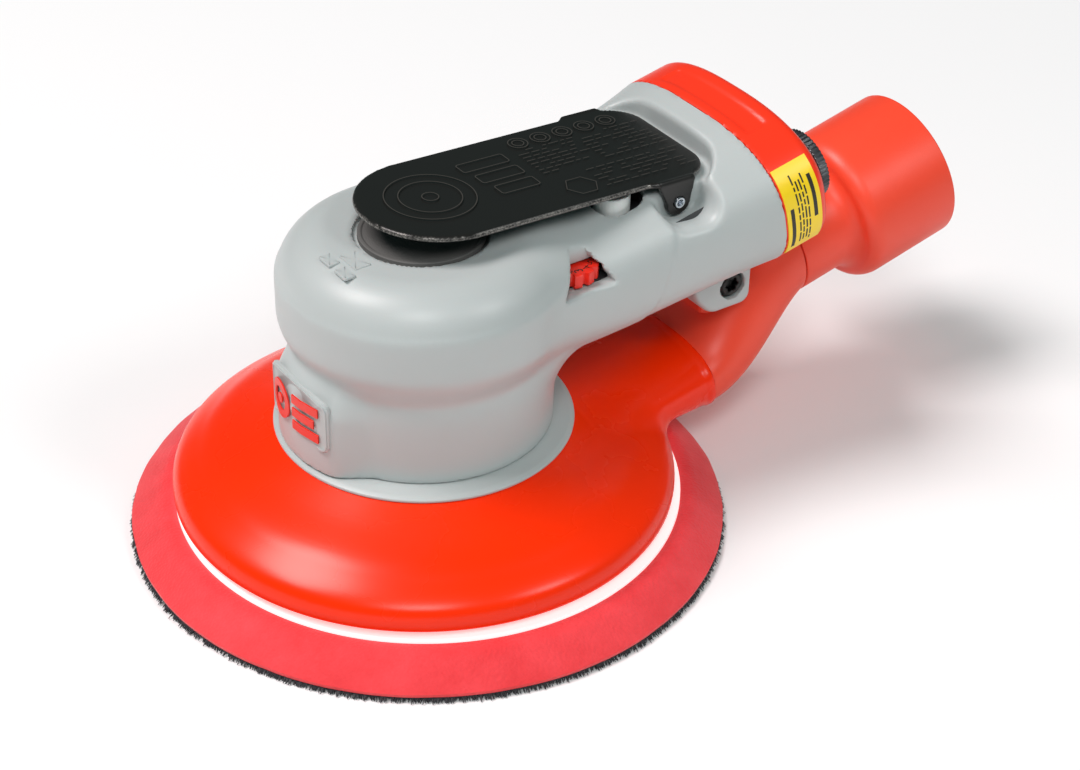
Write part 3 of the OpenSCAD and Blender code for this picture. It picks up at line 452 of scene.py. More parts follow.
rng = np.random.default_rng(150)
pitch = 2.0
row, column = np.meshgrid(np.arange(-50, 51), np.arange(-50, 51), indexing="ij")
feet = np.stack([pitch * (row + 0.5 * (column % 2)).ravel(), 0.87 * pitch * column.ravel()], -1)
feet += rng.uniform(-0.12, 0.12, feet.shape)
feet[:, 0] += pad_x
flat_feet = np.concatenate([feet, np.zeros((len(feet), 1))], 1)
feet = feet[(np.hypot(feet[:, 0] - pad_x, feet[:, 1]) < hook_r - 1.0) & (from_holes(flat_feet) > 0.5)]


def posts(at, levels, lean):
    """Four-sided posts: each level is (half-width, height, share of the lean), and the last is closed."""
    corner = np.array([(-1, -1), (1, -1), (1, 1), (-1, 1)], float)
    rings = [np.concatenate([at[:, None, :2] + corner * half + lean[:, None] * share,
                             np.broadcast_to(height, (len(at), 4, 1))], -1) for half, height, share in levels]
    points = np.concatenate(rings, 1)
    one = np.concatenate([quads(len(levels), 4), [[0, 1, 2, 3]],
                          [[4 * len(levels) - 1, 4 * len(levels) - 2, 4 * len(levels) - 3, 4 * len(levels) - 4]]])
    faces = one[None] + (np.arange(len(at)) * 4 * len(levels))[:, None, None]
    return points.reshape(-1, 3), faces[:, :, ::-1].reshape(-1, 4)


lean = rng.normal(0, 0.12, feet.shape)
hook_points, hook_faces = posts(feet, [(0.11, 0.8, 0), (0.09, 0.3, 0.5), (0.24, 0.12, 1), (0.1, 0.0, 1)], lean)
fray_count, fray_r = 2600, hook_r - 0.55
around_rim = rng.uniform(0, 2 * math.pi, fray_count)
rim_at = np.stack([pad_x + fray_r * np.cos(around_rim), fray_r * np.sin(around_rim)], -1)
outward = np.stack([np.cos(around_rim), np.sin(around_rim)], -1) * rng.uniform(0.3, 1.15, (fray_count, 1))
outward += rng.normal(0, 0.25, outward.shape)
rim_points, rim_faces = posts(rim_at, [(0.13, 1.3, 0), (0.1, 0.9, 0.6), (0.07, 0.35, 1)], outward)
# Hook fibre: drawn nylon, charcoal, slightly shiny along its length.
fibre = plastic("drawn_nylon_fibre", "#1E1E20", 0.6, 0.2, 0.1, "#34343A", 1.53)
hooks = piece_of("hook_fibres", *together([(hook_points, hook_faces), (rim_points, rim_faces)]), fibre, 60.0)
fit(hooks, "pad", "hook_black")

# ---------------------------------------------------------------------------------------------------
# Foam of the pad. Closed-cell polyurethane moulded on the plate, red, with a sloping edge that is a little
# uneven, and a dusty, fully matt skin.
foam_top = pad_high[2]
plate_low, plate_high = node_ends("pad_plate")
plate_r = (plate_high[1] - plate_low[1]) / 2
edge_base = 2.3
top_r = plate_r + 2.9


def foam_solid(p):
    r = np.hypot(p[:, 0] - pad_x, p[:, 1])
    angle = np.arctan2(p[:, 1], p[:, 0] - pad_x)
    uneven = 0.1 * np.sin(9 * angle + 0.4) + 0.06 * np.sin(23 * angle) + 0.04 * np.sin(47 * angle + 1.3)
    up = np.clip((p[:, 2] - edge_base) / (foam_top - edge_base), 0, 1)
    side = r - (pad_r - 0.25 - (pad_r - 0.25 - top_r) * up ** 1.12) + uneven * (1 - up)
    side = side * 0.55
    body = rounded_max(side, p[:, 2] - foam_top, 1.0)
    body = rounded_max(body, hook_high[2] - p[:, 2], 0.4)
    body = rounded_max(body, -np.maximum(r - plate_r, plate_low[2] - p[:, 2]), 0.2)
    body = rounded_max(body, -np.maximum(r - 9.0, plate_low[2] - 1.5 - p[:, 2]), 0.2)
    return rounded_max(body, -from_holes(p), 0.3)


# Closed-cell foam: fine pores 0.4 mm wide, drawn as 0.8 mm pits darkened by painted shade, colour paler where the
# skin is rubbed.
foam, shader, place = new_material("closed_cell_foam")
pore = add(foam, "TexVoronoi", {"Scale": 1250.0, "feature": "F1"}, {"Vector": (place, "Object")})
mottle = add(foam, "TexNoise", {"Scale": 60.0, "Detail": 6.0, "Roughness": 0.65}, {"Vector": (place, "Object")})
shade = add(foam, "ValToRGB", links={"Fac": (mottle, "Fac")})
shade.color_ramp.elements[0].position, shade.color_ramp.elements[1].position = 0.3, 0.75
shade.color_ramp.elements[0].color, shade.color_ramp.elements[1].color = colour("#E02A30"), colour("#F6454C")
# Painted shade: the colour is darkened towards each pore's middle, where the pit sinks.
speck = add(foam, "MapRange", {"From Max": 0.0006, "To Min": 0.82, "To Max": 1.0}, {"Value": (pore, "Distance")})
tint = add(foam, "Mix", {"data_type": "RGBA", "blend_type": "MULTIPLY"}, {6: (shade, "Color"), 7: (speck, "Result")})
tint.inputs[0].default_value = 0.6
connect(foam, tint, 2, shader, "Base Color")
relief = add(foam, "Math", {"operation": "ADD"}, {0: (pore, "Distance"), 1: (mottle, "Fac")})
dented(foam, shader, 0.35, 0.0004, relief, "Value")
shader.inputs["Roughness"].default_value = 0.8
shader.inputs["Sheen Weight"].default_value = 0.2
shader.inputs["Sheen Roughness"].default_value = 0.5
shader.inputs["Subsurface Weight"].default_value = 0.15
shader.inputs["Subsurface Radius"].default_value = (0.004, 0.001, 0.001)
shader.inputs["Subsurface Scale"].default_value = 0.4
foam_pad = skin("foam_pad", (np.arange(0, 76.5, 1.25), turn, np.arange(0.9, 9.6, 0.6)), foam_solid, foam, round_pad,
                close=True, steps=3)
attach(foam_pad, "pad")
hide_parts("pad_foam")

# Backing plate. Glass-filled nylon, moulded, white: only its rim shows, as a bright ring. Painted light: a faint
# emission glow, which the nylon itself has not got, keeps the ring white beside the red and in the shroud's shade.
white_nylon = plastic("white_filled_nylon", "#FDFDFC", 0.45, 0.5, 0.2, "#F8F8F6", 1.53)
painted_glow_shader = white_nylon.node_tree.nodes["Principled BSDF"]
# Painted light: this emission makes the plate's rim glow, though it is no lamp.
painted_glow_shader.inputs["Emission Color"].default_value = colour("#FFFFFF")
painted_glow_shader.inputs["Emission Strength"].default_value = 0.5
dress(white_nylon, "pad_plate")

# ---------------------------------------------------------------------------------------------------
# Dust shroud. Glossy moulded ABS, 2.2 mm, signal red: a low dome with a rounded lower edge, drawn out to
# the rear into a flattened stub whose end has a raised rim.
def outline_distance(q, outline):
    """Distance from 2-D points to a closed polygon, negative inside: the nearest of its sides, with the
    sign from how many sides a ray to the right crosses."""
    best, crossed = np.full(len(q), 1e9), np.zeros(len(q), bool)
    for a, b in zip(outline, np.roll(outline, -1, 0)):
        d = b - a
        t = np.clip(((q - a) @ d) / (d @ d), 0, 1)
        best = np.minimum(best, ((q - a - t[:, None] * d) ** 2).sum(1))
        if a[1] != b[1]:
            crossed ^= ((a[1] > q[:, 1]) != (b[1] > q[:, 1])) & (q[:, 0] < d[0] * (q[:, 1] - a[1]) / d[1] + a[0])
    return np.where(crossed, -1, 1) * np.sqrt(best)


def curve_through(knots, steps=8):
    """A smooth line through the knots: on each span a cubic whose slope at a knot is that between its
    two neighbours."""
    k = np.asarray(knots, float)
    slope = np.gradient(k, axis=0)
    t = np.linspace(0, 1, steps, endpoint=False)[:, None]
    spans = [(2 * t ** 3 - 3 * t ** 2 + 1) * a + (t ** 3 - 2 * t ** 2 + t) * m
             + (3 * t ** 2 - 2 * t ** 3) * b + (t ** 3 - t ** 2) * n
             for a, b, m, n in zip(k[:-1], k[1:], slope[:-1], slope[1:])]
    return np.concatenate(spans + [k[-1:]])


flange_low, flange_high = node_ends("flange_ring")
flange_r = (flange_high[1] - flange_low[1]) / 2
shroud_high = node_ends("shroud")[1]
shroud_base, shroud_top = 11.4, shroud_high[2]
shroud_r = 62.65
wall = 2.2
rise = shroud_top - shroud_base
dome = [(shroud_r, 0.0), (shroud_r + 0.15, 1.6), (shroud_r - 0.05, 3.6), (shroud_r - 0.9, 5.5),
        (shroud_r - 2.6, 7.1), (shroud_r - 6.0, 9.3), (shroud_r - 10.5, 11.9), (flange_r + 6.5, rise - 2.9),
        (flange_r - 1.0, rise + 0.2)]
dome = curve_through(dome, 5) + [0, shroud_base]
dome = np.concatenate([[[0, 0], [shroud_r, 0]], dome, [[0, shroud_top]]])
stub_tilt = math.radians(8.0)
stub_end, stub_mid = np.array([77.0, 19.5]), 20.0
stub_start, stub_length, shroud_hole_r = 37.0, 40.0, 30.95
oval_power = 2.54


def stub_section(p, inset):
    """Flattened oval, w wide and h high: |y/w|^n + |z/h|^n = 1, divided by its gradient."""
    q = np.clip((p[:, 0] - stub_start) / stub_length, -0.5, 1.05)
    w, h = 25.5 - 6.0 * q - inset, 7.0 + 2.5 * q - inset
    return oval(p[:, 1], p[:, 2] - (stub_mid - 0.5 * q), w, h)


def oval(y, z, w, h, n=oval_power):
    """Distance from a superellipse, near enough: (m - 1) over the length of m's gradient, where
    m = (|y/w|^n + |z/h|^n)^(1/n)."""
    u, v = np.abs(y / w) + 1e-6, np.abs(z / h) + 1e-6
    m = (u ** n + v ** n) ** (1 / n)
    slope = np.hypot(u ** (n - 1) / w, v ** (n - 1) / h) * m ** (1 - n)
    return (m - 1) / slope


def shroud_solid(p):
    along = (p[:, 0] - stub_end[0]) * math.cos(stub_tilt) + (p[:, 2] - stub_end[1]) * math.sin(stub_tilt)
    d = outline_distance(np.stack([np.hypot(p[:, 0], p[:, 1]), p[:, 2]], -1), dome)
    bead = 0.4 * np.clip((along + 2.6) / 0.8, 0, 1)
    outer_dome = rounded_max(d, shroud_base - p[:, 2], 0.5)
    outer_stub = np.maximum(stub_section(p, 0) - bead, stub_start - p[:, 0])
    outer = rounded_min(outer_dome, rounded_max(outer_stub, along, 0.5), 4.0)
    inner = rounded_min(d + wall, np.maximum(stub_section(p, wall), stub_start - p[:, 0]), 2.0)
    shell = rounded_max(outer, -inner, 0.5)
    return np.maximum(shell, shroud_hole_r - np.hypot(p[:, 0], p[:, 1]))


gloss_red = plastic("glossy_red_abs", "#FF3200", 0.27, 1.2, 0.03, "#FB2C00", 1.5, level=0.3)
shroud = skin("shroud", (np.arange(29.5, 80, 0.7), np.linspace(0, 2 * math.pi, 481), np.arange(8.6, 30.6, 0.6)),
              shroud_solid, gloss_red, polar)
fit(shroud, "body", "shroud_red", "shroud")

# Ring above the shroud. The same soft grey as the grip, moulded with a thin flat lip.
grip_grey = plastic("soft_touch_grey_moulding", "#BAC0BF", 0.38, 0.35, 0.12, "#B4BAB9", 1.5, scatter=0.05)
neck_r = flange_r - 6.4
ring_base, ring_top = flange_low[2], flange_high[2]
ring_profile = rounded([(neck_r, ring_base), (flange_r, ring_base), (flange_r, ring_base + 0.75),
                        (flange_r - 1.2, ring_base + 1.25), (31.0, ring_top), (neck_r, ring_top),
                        (neck_r, ring_base)], 0.3)
points, faces = turned(ring_profile, 192)
welded("collar_ring", points, faces, grip_grey, 30.0, "body", "grip_grey", "flange_ring")

# ---------------------------------------------------------------------------------------------------
# Grip. Soft-touch grey polymer moulded over the motor housing in one piece: round head, front lobe, oval
# handle, a bay for the lever, pockets for its ears, the stem and the dial, and a fork under the rear end.
handle_tilt = math.radians(12.0)
grip_low, grip_high = node_ends("grip")
disc_low, disc_high = node_ends("head_disc")
lever_joint = next(j for j in frame["joints"] if j["name"] == "lever_pivot")
pivot = np.array(lever_joint["pos_m"]) / MM
handle_at = np.array([pivot[0] + 24.0, 0.0, pivot[2] - 7.7])
head_top = disc_low[2] + 1.5
body_base = grip_low[2]
lobe_x, lobe_r, waist_r, head_r = -5.0, 31.5, 32.3, 35.0
stem_low, stem_high = node_ends("valve_stem")
stem_at = (stem_low + stem_high) / 2
dial_low, dial_high = node_ends("speed_dial")
dial_at = (dial_low + dial_high) / 2
screw_low, screw_high = node_ends("tube_screw")
screw_at = (screw_low + screw_high) / 2
waist_z, waist_tall, waist_deep = 55, 4.5, 0.9
ridge_x = 49.5
proud = 0.2
handle_x = np.array([0.0, -28.0, -55.0, -78.0])
handle_w = np.polyfit(handle_x, [33.6, 29.8, 27.5, 22.0], 3)
handle_h = np.polyfit(handle_x, [19.8, 18.3, 17.5, 17.0], 3)
handle_lift = np.polyfit(handle_x, [0.0, 0.0, 1.2, 3.0], 3)


def handle_frame(p):
    """Row coordinates to the handle's own: along it, across it and through it, from the cap's joint."""
    d, c, s = p - handle_at, math.cos(handle_tilt), math.sin(handle_tilt)
    return d[:, 0] * c + d[:, 2] * s, d[:, 1], -d[:, 0] * s + d[:, 2] * c


def slab_between(value, low, high):
    return np.abs(value - (low + high) / 2) - (high - low) / 2


def grip_outside(p):
    x, y, z = p.T
    r = np.hypot(x, y)
    head = rounded_max(r - head_r, z - head_top, 12.0)
    head = rounded_max(head, 54.0 - z, 8.5)
    body = np.maximum(r - waist_r + 0.02 * (56 - z) + waist_deep * np.exp(-((z - waist_z) / waist_tall) ** 2), z - 70)
    lobe = rounded_max(np.hypot(x - lobe_x, y) - lobe_r, np.abs(y) - 16.2, 4.5)
    lobe = rounded_max(np.maximum(lobe, x), z - body_base - 24.0, 9.0)
    u, v, w = handle_frame(p)
    t = np.clip(u, -80, 2)
    front = 0.35 * np.clip((ridge_x + 0.3 * (z - 60) - x) / 0.8, 0, 1)
    handle = oval(v, w - np.polyval(handle_lift, t), np.polyval(handle_w, t), np.polyval(handle_h, t)) - front
    handle = rounded_max(handle, -78.0 - u, 12.0)
    belly = rounded_max(rounded_max(slab_between(x, 20, 51.5), slab_between(z, 44.6, 62), 6.0),
                        np.abs(y) - 19.0, 8.0)
    handle = rounded_min(handle, belly, 3.0)
    tower = rounded_min(rounded_min(head, body, 4.0), lobe, 3.5)
    whole = rounded_min(tower, handle, 8.0)
    arm = rounded_max(slab_between(x, screw_at[0] - 12.5, screw_at[0] + 6.0), screw_at[2] - 6.6 - z, 3.0)
    arm = rounded_max(arm, 0.75 * (screw_at[0] - 9.0 - x) + 0.66 * (screw_at[2] - 2.0 - z) - 1.5, 2.0)
    arm = rounded_max(np.maximum(arm, z - 60), slab_between(np.abs(y), 9.0, 17.0), 1.2)
    whole = rounded_min(whole, arm, 1.6)
    return rounded_max(rounded_max(whole, body_base - z, 0.5), u, 0.5)


def grip_solid(p):
    x, y, z = p.T
    out = grip_outside(p)
    bay = rounded_max(rounded_max(np.abs(y) - 22.0, x - pivot[0] - 14.0, 10.0), pivot[2] + 3.2 - z, 1.5)
    bay = np.maximum(bay, -10.0 - x) + proud
    out = rounded_max(out, -bay, 1.2)
    scoop = rounded_max(np.abs(x - pivot[0] - 0.3) - 7.5, pivot[2] - 4.3 - z, 6.0)
    scoop = rounded_max(scoop, 19.1 - np.abs(y), 1.0) + proud
    out = rounded_max(out, -scoop, 1.6)
    stem = np.hypot(np.maximum(np.abs(x - stem_at[0] - 1.2) - 1.2, 0), y - stem_at[1]) - 5.6
    out = rounded_max(out, -rounded_max(stem, pivot[2] - 1.5 - z, 0.6), 0.7)
    px, py, pz = x - dial_at[0], y - dial_at[1], z - dial_high[2]
    round_hole = rounded_max(np.hypot(px, py) - 8.0, slab_between(pz, -4.0, 0.6), 0.5)
    opening = rounded_max(0.82 * (np.abs(px) - 8.0) + 0.57 * (pz + 4.0), -4.0 - pz, 0.8)
    opening = np.maximum(rounded_max(opening, pz - 6.0, 1.0), py + 2.5)
    out = rounded_max(out, -rounded_min(round_hole, opening, 0.5), 0.8)
    recess = rounded_max(np.hypot(x, y) - 16.5, head_top - 1.5 - z, 0.4)
    out = rounded_max(out, -recess, 0.6)
    hole = np.hypot(x - screw_at[0], z - screw_at[2])
    out = rounded_max(out, -rounded_max(hole - 3.8, y + 14.0, 0.3), 0.4)
    out = rounded_max(out, -np.maximum(hole - 3.9, 14.2 - y), 0.4)
    u, v, w = handle_frame(p)
    core = rounded_max(rounded_max(np.abs(v) - 25.0, np.abs(w) - 14.5, 12.0), slab_between(u, -70, 9), 0.5)
    core = np.minimum(core, np.maximum(np.hypot(x, y) - 27.4, z - head_top + 3.0))
    core = np.maximum(core, 1.8 - np.minimum(bay, scoop))
    return np.maximum(out, -core)


def sheared(points):
    """Straight grid planes that lean with the handle's rear face as they near it: x is less by
    tan(tilt) times the height over the handle's middle, blended in from 40 to 80 mm."""
    t = np.clip((points[:, 0] - 40.0) / 40.0, 0, 1)
    lean = math.tan(handle_tilt) * t * t * (3 - 2 * t)
    return np.stack([points[:, 0] - (points[:, 2] - handle_at[2]) * lean, points[:, 1], points[:, 2]], -1)


cell = 0.8
grip = skin("grip", (np.arange(-38.2, 89.5, cell), np.arange(-36.0, 36.1, cell),
                     np.arange(body_base - 1.0, grip_high[2] + 1.5, cell)), grip_solid, grip_grey, sheared)
fit(grip, "body", "grip_grey", "grip")

# Disc in the recess of the head. Charcoal ABS with a coarse matt grain, pressed in.
dark_abs = plastic("matt_charcoal_abs", "#6C6B69", 0.6, 0.35, 0.6, "#5B5A58")
disc_r = 15.4
disc_profile = rounded([(0, disc_low[2]), (disc_r, disc_low[2]), (disc_r, disc_high[2]), (disc_r - 0.9, disc_high[2]),
                        (disc_r - 1.2, disc_high[2] - 0.3), (0, disc_high[2] - 0.3)], 0.25)
points, faces = turned(disc_profile, 128)
welded("head_disc", points, faces, dark_abs, 30.0, "body", "dark_disc", "head_disc")


def stamped(edge, levels):
    """A flat shape with shaped edges: its outline, drawn in by each level's inset along the outline's own
    normals, at each level's height, closed at both ends on the outline's middle."""
    edge = np.asarray(edge, float)
    side = np.roll(edge, -1, 0) - np.roll(edge, 1, 0)
    normal = np.stack([side[:, 1], -side[:, 0]], -1) / np.linalg.norm(side, axis=1)[:, None]
    middle = edge.mean(0)
    rings = [np.concatenate([edge - normal * inset, np.full((len(edge), 1), height)], 1)
             for inset, height in levels]
    for end in (0, -1):
        cap = np.concatenate([np.repeat(middle[None], len(edge), 0), np.full((len(edge), 1), levels[end][1])], 1)
        rings.insert(0 if end == 0 else len(rings), cap)
    return np.concatenate(rings), quads(len(rings), len(edge))


def rounded_box(w, h, r, steps=8):
    """Outline of a box, half w by half h, with corners of radius r, going round anticlockwise."""
    a = np.linspace(0, math.pi / 2, steps)
    corner = [(1, 1, 0), (-1, 1, 1), (-1, -1, 2), (1, -1, 3)]
    return np.concatenate([np.stack([sx * (w - r) + r * np.cos(a + k * math.pi / 2),
                                     sy * (h - r) + r * np.sin(a + k * math.pi / 2)], -1) for sx, sy, k in corner])


def strips(paths, width, low, high):
    """Raised lines: a box section, width across and from low to high, carried along each flat path; a path
    that ends where it starts closes on itself, and the others are closed at their ends."""
    parts = []
    for path in paths:
        path = np.asarray(path, float)
        ring = np.allclose(path[0], path[-1])
        line = path[:-1] if ring else path
        side = (np.roll(line, -1, 0) - np.roll(line, 1, 0)) if ring else np.gradient(line, axis=0)
        normal = np.stack([-side[:, 1], side[:, 0]], -1) / np.linalg.norm(side, axis=1)[:, None] * width / 2
        n = len(line)
        section = np.stack([np.concatenate([line + s * normal, np.full((n, 1), z)], 1)
                            for s, z in ((1, low), (-1, low), (-1, high), (1, high))], 1)
        faces = quads(n, 4)
        ends = [[[4 * n - 4 + k for k in range(4)], [3, 2, 1, 0]],
                [[4 * n - 4 + k, 4 * n - 4 + (k + 1) % 4, (k + 1) % 4, k] for k in range(4)]][ring]
        parts.append((section.reshape(-1, 3), np.concatenate([faces, np.array(ends)])[:, ::-1]))
    return together(parts)


# Maker's plate on the front lobe. Clear-faced grey plate, snapped into the grip, with a thin raised frame and
# a plain sign for a round sanding pad in red: a ring, a dot and three bars.
badge_low, badge_high = node_ends("front_badge")
badge_z, badge_half = (badge_low[2] + badge_high[2]) / 2, (badge_high[1] - badge_low[1]) / 2 + 2.4
badge_tall = (badge_high[2] - badge_low[2]) / 2


def on_lobe(points):
    """Flat (across, up, height) wrapped onto the lobe: across becomes an arc of the lobe's radius."""
    a = points[:, 0] / lobe_r
    r = lobe_r + points[:, 2]
    return np.stack([lobe_x - r * np.cos(a), -r * np.sin(a), badge_z + points[:, 1]], -1)


points, faces = stamped(rounded_box(badge_half, badge_tall, 2.4), [(0, -0.6), (0, 0.3), (0.3, 0.55), (0.9, 0.55)])
welded("front_badge", on_lobe(points), faces, grip_grey, 30.0, "body", "badge", "front_badge")
rim = rounded_box(badge_half - 0.7, badge_tall - 0.7, 1.8)
points, faces = strips([np.concatenate([rim, rim[:1]])], 0.5, 0.3, 0.78)
welded("badge_rim", on_lobe(points), faces, grip_grey, 30.0, "body", "badge")
sign_red = plastic("red_enamel_sign", "#F2301E", 0.35, 0.3, 0.1, "#E62A1A")
a = np.linspace(0, 2 * math.pi, 65)
ring_path = np.stack([-5.6 + 4.0 * np.cos(a), 4.0 * np.sin(a)], -1)
dot_path = np.stack([-5.6 + 0.7 * np.cos(a[::4]), 0.7 * np.sin(a[::4])], -1)
bars = [np.array([(0.8, z), (4.2, z), (end, z)]) for z, end in ((3.6, 10.0), (0.0, 8.6), (-3.6, 10.0))]
points, faces = together([strips(paths, width, 0.4, 0.8)
                          for paths, width in (([ring_path], 2.0), ([dot_path], 1.3), (bars, 2.3))])
welded("badge_sign", on_lobe(points), faces, sign_red, 30.0, "body", "shroud_red")

# Locating mark on the head. Two small raised pads beside a slot, moulded with the grip.
marks = []
for cx, cy, w, h in ((-25.4, -7.4, 1.5, 2.4), (-25.4, -0.4, 1.5, 2.4), (-20.6, -3.9, 2.2, 3.6)):
    p, f = stamped(rounded_box(w, h, 0.3, 4), [(0, head_top - 0.4), (0, head_top + 0.1), (0.15, head_top + 0.32),
                                                (0.5, head_top + 0.32)])
    marks.append((p + [cx, cy, 0], f))
points, faces = together(marks)
welded("head_mark", points, faces, grip_grey, 30.0, "body", "grip_grey")

# ---------------------------------------------------------------------------------------------------
# End cap. Satin red ABS, screwed over the handle's end: same oval as the handle, rounded rear edge, a
# shallow recess on top, five slots for the exhaust and a boss round the air inlet.
cap_l, cap_w, cap_h = 14.0, 33.55, 19.72
inlet_y, inlet_z, silencer_y = -13.0, -3.6, 12.5
inlet_hole_r = 8.1


def in_handle(points):
    """The handle's own coordinates back to the row's."""
    return moved(points, handle_at, handle_tilt)


def cap_solid(p):
    u, v, w = p.T
    inset = -rounded_max(slab_between(u, 2.3, 9.2), np.abs(v) - 18.0, 1.5)
    dip = 0.5 * np.clip(inset / 0.9, 0, 1) * (w > 0)
    outer = rounded_max(rounded_max(oval(v, w, cap_w, cap_h) + dip, u - cap_l, 3.2), -u, 0.3)
    boss = np.maximum(np.hypot(v - inlet_y, w - inlet_z) - inlet_hole_r - 2.3, -0.5 - u)
    inner = np.maximum(oval(v, w, cap_w - 2.6, cap_h - 2.6), u - cap_l + 1.6)
    out = np.maximum(outer, -np.maximum(inner, -boss))
    slot = np.abs((v - silencer_y + 1.8) % 3.6 - 1.8) - 0.9
    slot = rounded_max(rounded_max(slot, np.abs(w) - 6.0, 0.8), np.abs(v - silencer_y) - 9.0, 0.1)
    out = rounded_max(out, -np.maximum(slot, cap_l - 5.0 - u), 0.3)
    return rounded_max(out, -(np.hypot(v - inlet_y, w - inlet_z) - inlet_hole_r), 0.4)


satin_red = plastic("satin_red_abs", "#FB3A1C", 0.34, 0.5, 0.1, "#F43214", 1.5)
cap = skin("end_cap", (np.arange(-0.9, 15.4, 0.6), np.arange(-34.8, 34.9, 0.6), np.arange(-21.0, 21.1, 0.6)),
           cap_solid, satin_red, place=in_handle)
fit(cap, "body", "cap_red", "end_cap")


# Label on the side of the cap. Yellow vinyl, 0.25 mm, stuck on: plain black bars stand where print would be.
def on_cap(points):
    """Flat (along, up, height) wrapped onto the cap's near side: at each height the half-width of the oval
    plus the height along its normal."""
    u, w, out = points.T
    q = np.clip(np.abs(w) / cap_h, 0, 0.999)
    v = cap_w * (1 - q ** oval_power) ** (1 / oval_power)
    gv = (v / cap_w) ** (oval_power - 1) / cap_w
    gw = np.sign(w) * q ** (oval_power - 1) / cap_h
    length = np.hypot(gv, gw)
    return in_handle(np.stack([u, -(v + out * gv / length), w + out * gw / length], -1))


def patch(u0, u1, w0, w1, low, high, nu=6, nw=28):
    """A thin tile on the cap: a grid of (along, up) at two heights, with its four edges closed."""
    u, w = np.meshgrid(np.linspace(u0, u1, nu), np.linspace(w0, w1, nw), indexing="ij")
    flat = np.stack([u, w], -1)
    edge = np.concatenate([flat[0], flat[1:-1, -1], flat[-1, ::-1], flat[-2:0:-1, 0]])
    n = len(edge)
    top = np.concatenate([flat.reshape(-1, 2), np.full((nu * nw, 1), high)], 1)
    low_top = top * [1, 1, 0] + [0, 0, low]
    r, c = np.meshgrid(np.arange(nu - 1), np.arange(nw - 1), indexing="ij")
    sheet = np.stack([r * nw + c, (r + 1) * nw + c, (r + 1) * nw + c + 1, r * nw + c + 1], -1).reshape(-1, 4)
    walls = np.concatenate([np.concatenate([edge, np.full((n, 1), z)], 1) for z in (low, high)])
    return (np.concatenate([top, low_top, walls]),
            np.concatenate([sheet, sheet[:, ::-1] + nu * nw, quads(2, n, 2 * nu * nw)]))


yellow_vinyl = plastic("printed_yellow_vinyl", "#FFDD1E", 0.35, 0.6, 0.05, "#FBD416", 1.5)
print_black = plastic("black_print", "#1C1A12", 0.5, 0.3, 0.05, "#2A271C")
points, faces = patch(0.35, cap_l - 3.0, -10.5, 13.0, -0.1, 0.2)
welded("cap_label", on_cap(points), faces, yellow_vinyl, 30.0, "body", "label_yellow", "cap_label")
print_bars = [(1.5, 2.6, -8.5, 3.5), (8.6, 9.7, -2.0, 9.5)]
print_rng = np.random.default_rng(7)
for u in (3.9, 4.9, 5.9, 6.9):
    w = -8.5 + print_rng.uniform(0, 1)
    while w < 9.5:
        length = print_rng.uniform(1.0, 3.4)
        print_bars.append((u, u + 0.42, w, min(w + length, 11.0)))
        w += length + 0.55
points, faces = together([patch(*bar, 0.18, 0.25, 2, 8) for bar in print_bars])
welded("label_print", on_cap(points), faces, print_black, 30.0, "body", "label_yellow")

# ---------------------------------------------------------------------------------------------------
# Exhaust tube. Moulded soft-satin red polymer: the flattened stub's oval turns into a circle along a curved
# line, and ends in a spigot that the hose cuff turns on. A lug on top is screwed into the fork.
cuff_joint = next(j for j in frame["joints"] if j["name"] == "cuff_swivel")
cuff_tilt = math.atan2(cuff_joint["axis"][2], cuff_joint["axis"][0])
cuff_rim = np.array(cuff_joint["pos_m"]) / MM
cuff_dir = np.array([math.cos(cuff_tilt), 0.0, math.sin(cuff_tilt)])
cuff_l, neck_out, spigot_r, cuff_gap = 46.2, 14.6, 12.55, 0.5
swivel = cuff_rim - (cuff_l + cuff_gap) * cuff_dir
bend = 14.0
control = np.array([stub_end, stub_end + bend * np.array([math.cos(stub_tilt), math.sin(stub_tilt)]),
                    swivel[[0, 2]] - bend * cuff_dir[[0, 2]], swivel[[0, 2]]])


def tube_rings(q, inset, steps=96):
    """Rings of the tube's skin: centre on a cubic curve through four control points, section a superellipse
    whose half-sizes and power run from the stub's oval to the neck's circle as q goes from 0 to 1."""
    q = np.asarray(q, float)[:, None]
    centre = (1 - q) ** 3 * control[0] + 3 * q * (1 - q) ** 2 * control[1] \
        + 3 * q * q * (1 - q) * control[2] + q ** 3 * control[3]
    slope = (1 - q) ** 2 * (control[1] - control[0]) + 2 * q * (1 - q) * (control[2] - control[1]) \
        + q * q * (control[3] - control[2])
    slope = slope / np.linalg.norm(slope, axis=1)[:, None]
    a = np.arange(steps) * 2 * math.pi / steps
    power = 2 / (oval_power - (oval_power - 2) * q)
    wide, tall = 19.5 - 4.9 * q - inset, 9.5 + 5.1 * (1 - (1 - q) ** 1.6) - inset
    y = wide * np.sign(np.cos(a)) * np.abs(np.cos(a)) ** power
    z = tall * np.sign(np.sin(a)) * np.abs(np.sin(a)) ** power
    return np.stack([centre[:, :1] - z * slope[:, 1:], y, centre[:, 1:] + z * slope[:, :1]], -1)


def spigot_rings(profile, steps=96):
    """Round rings on the cuff's axis, from (radius, distance past the swivel)."""
    a = np.arange(steps) * 2 * math.pi / steps
    r, s = np.array(profile, float).T
    z = r[:, None] * np.sin(a)
    return np.stack([swivel[0] + s[:, None] * cuff_dir[0] - z * cuff_dir[2], r[:, None] * np.cos(a),
                     swivel[2] + s[:, None] * cuff_dir[2] + z * cuff_dir[0]], -1)


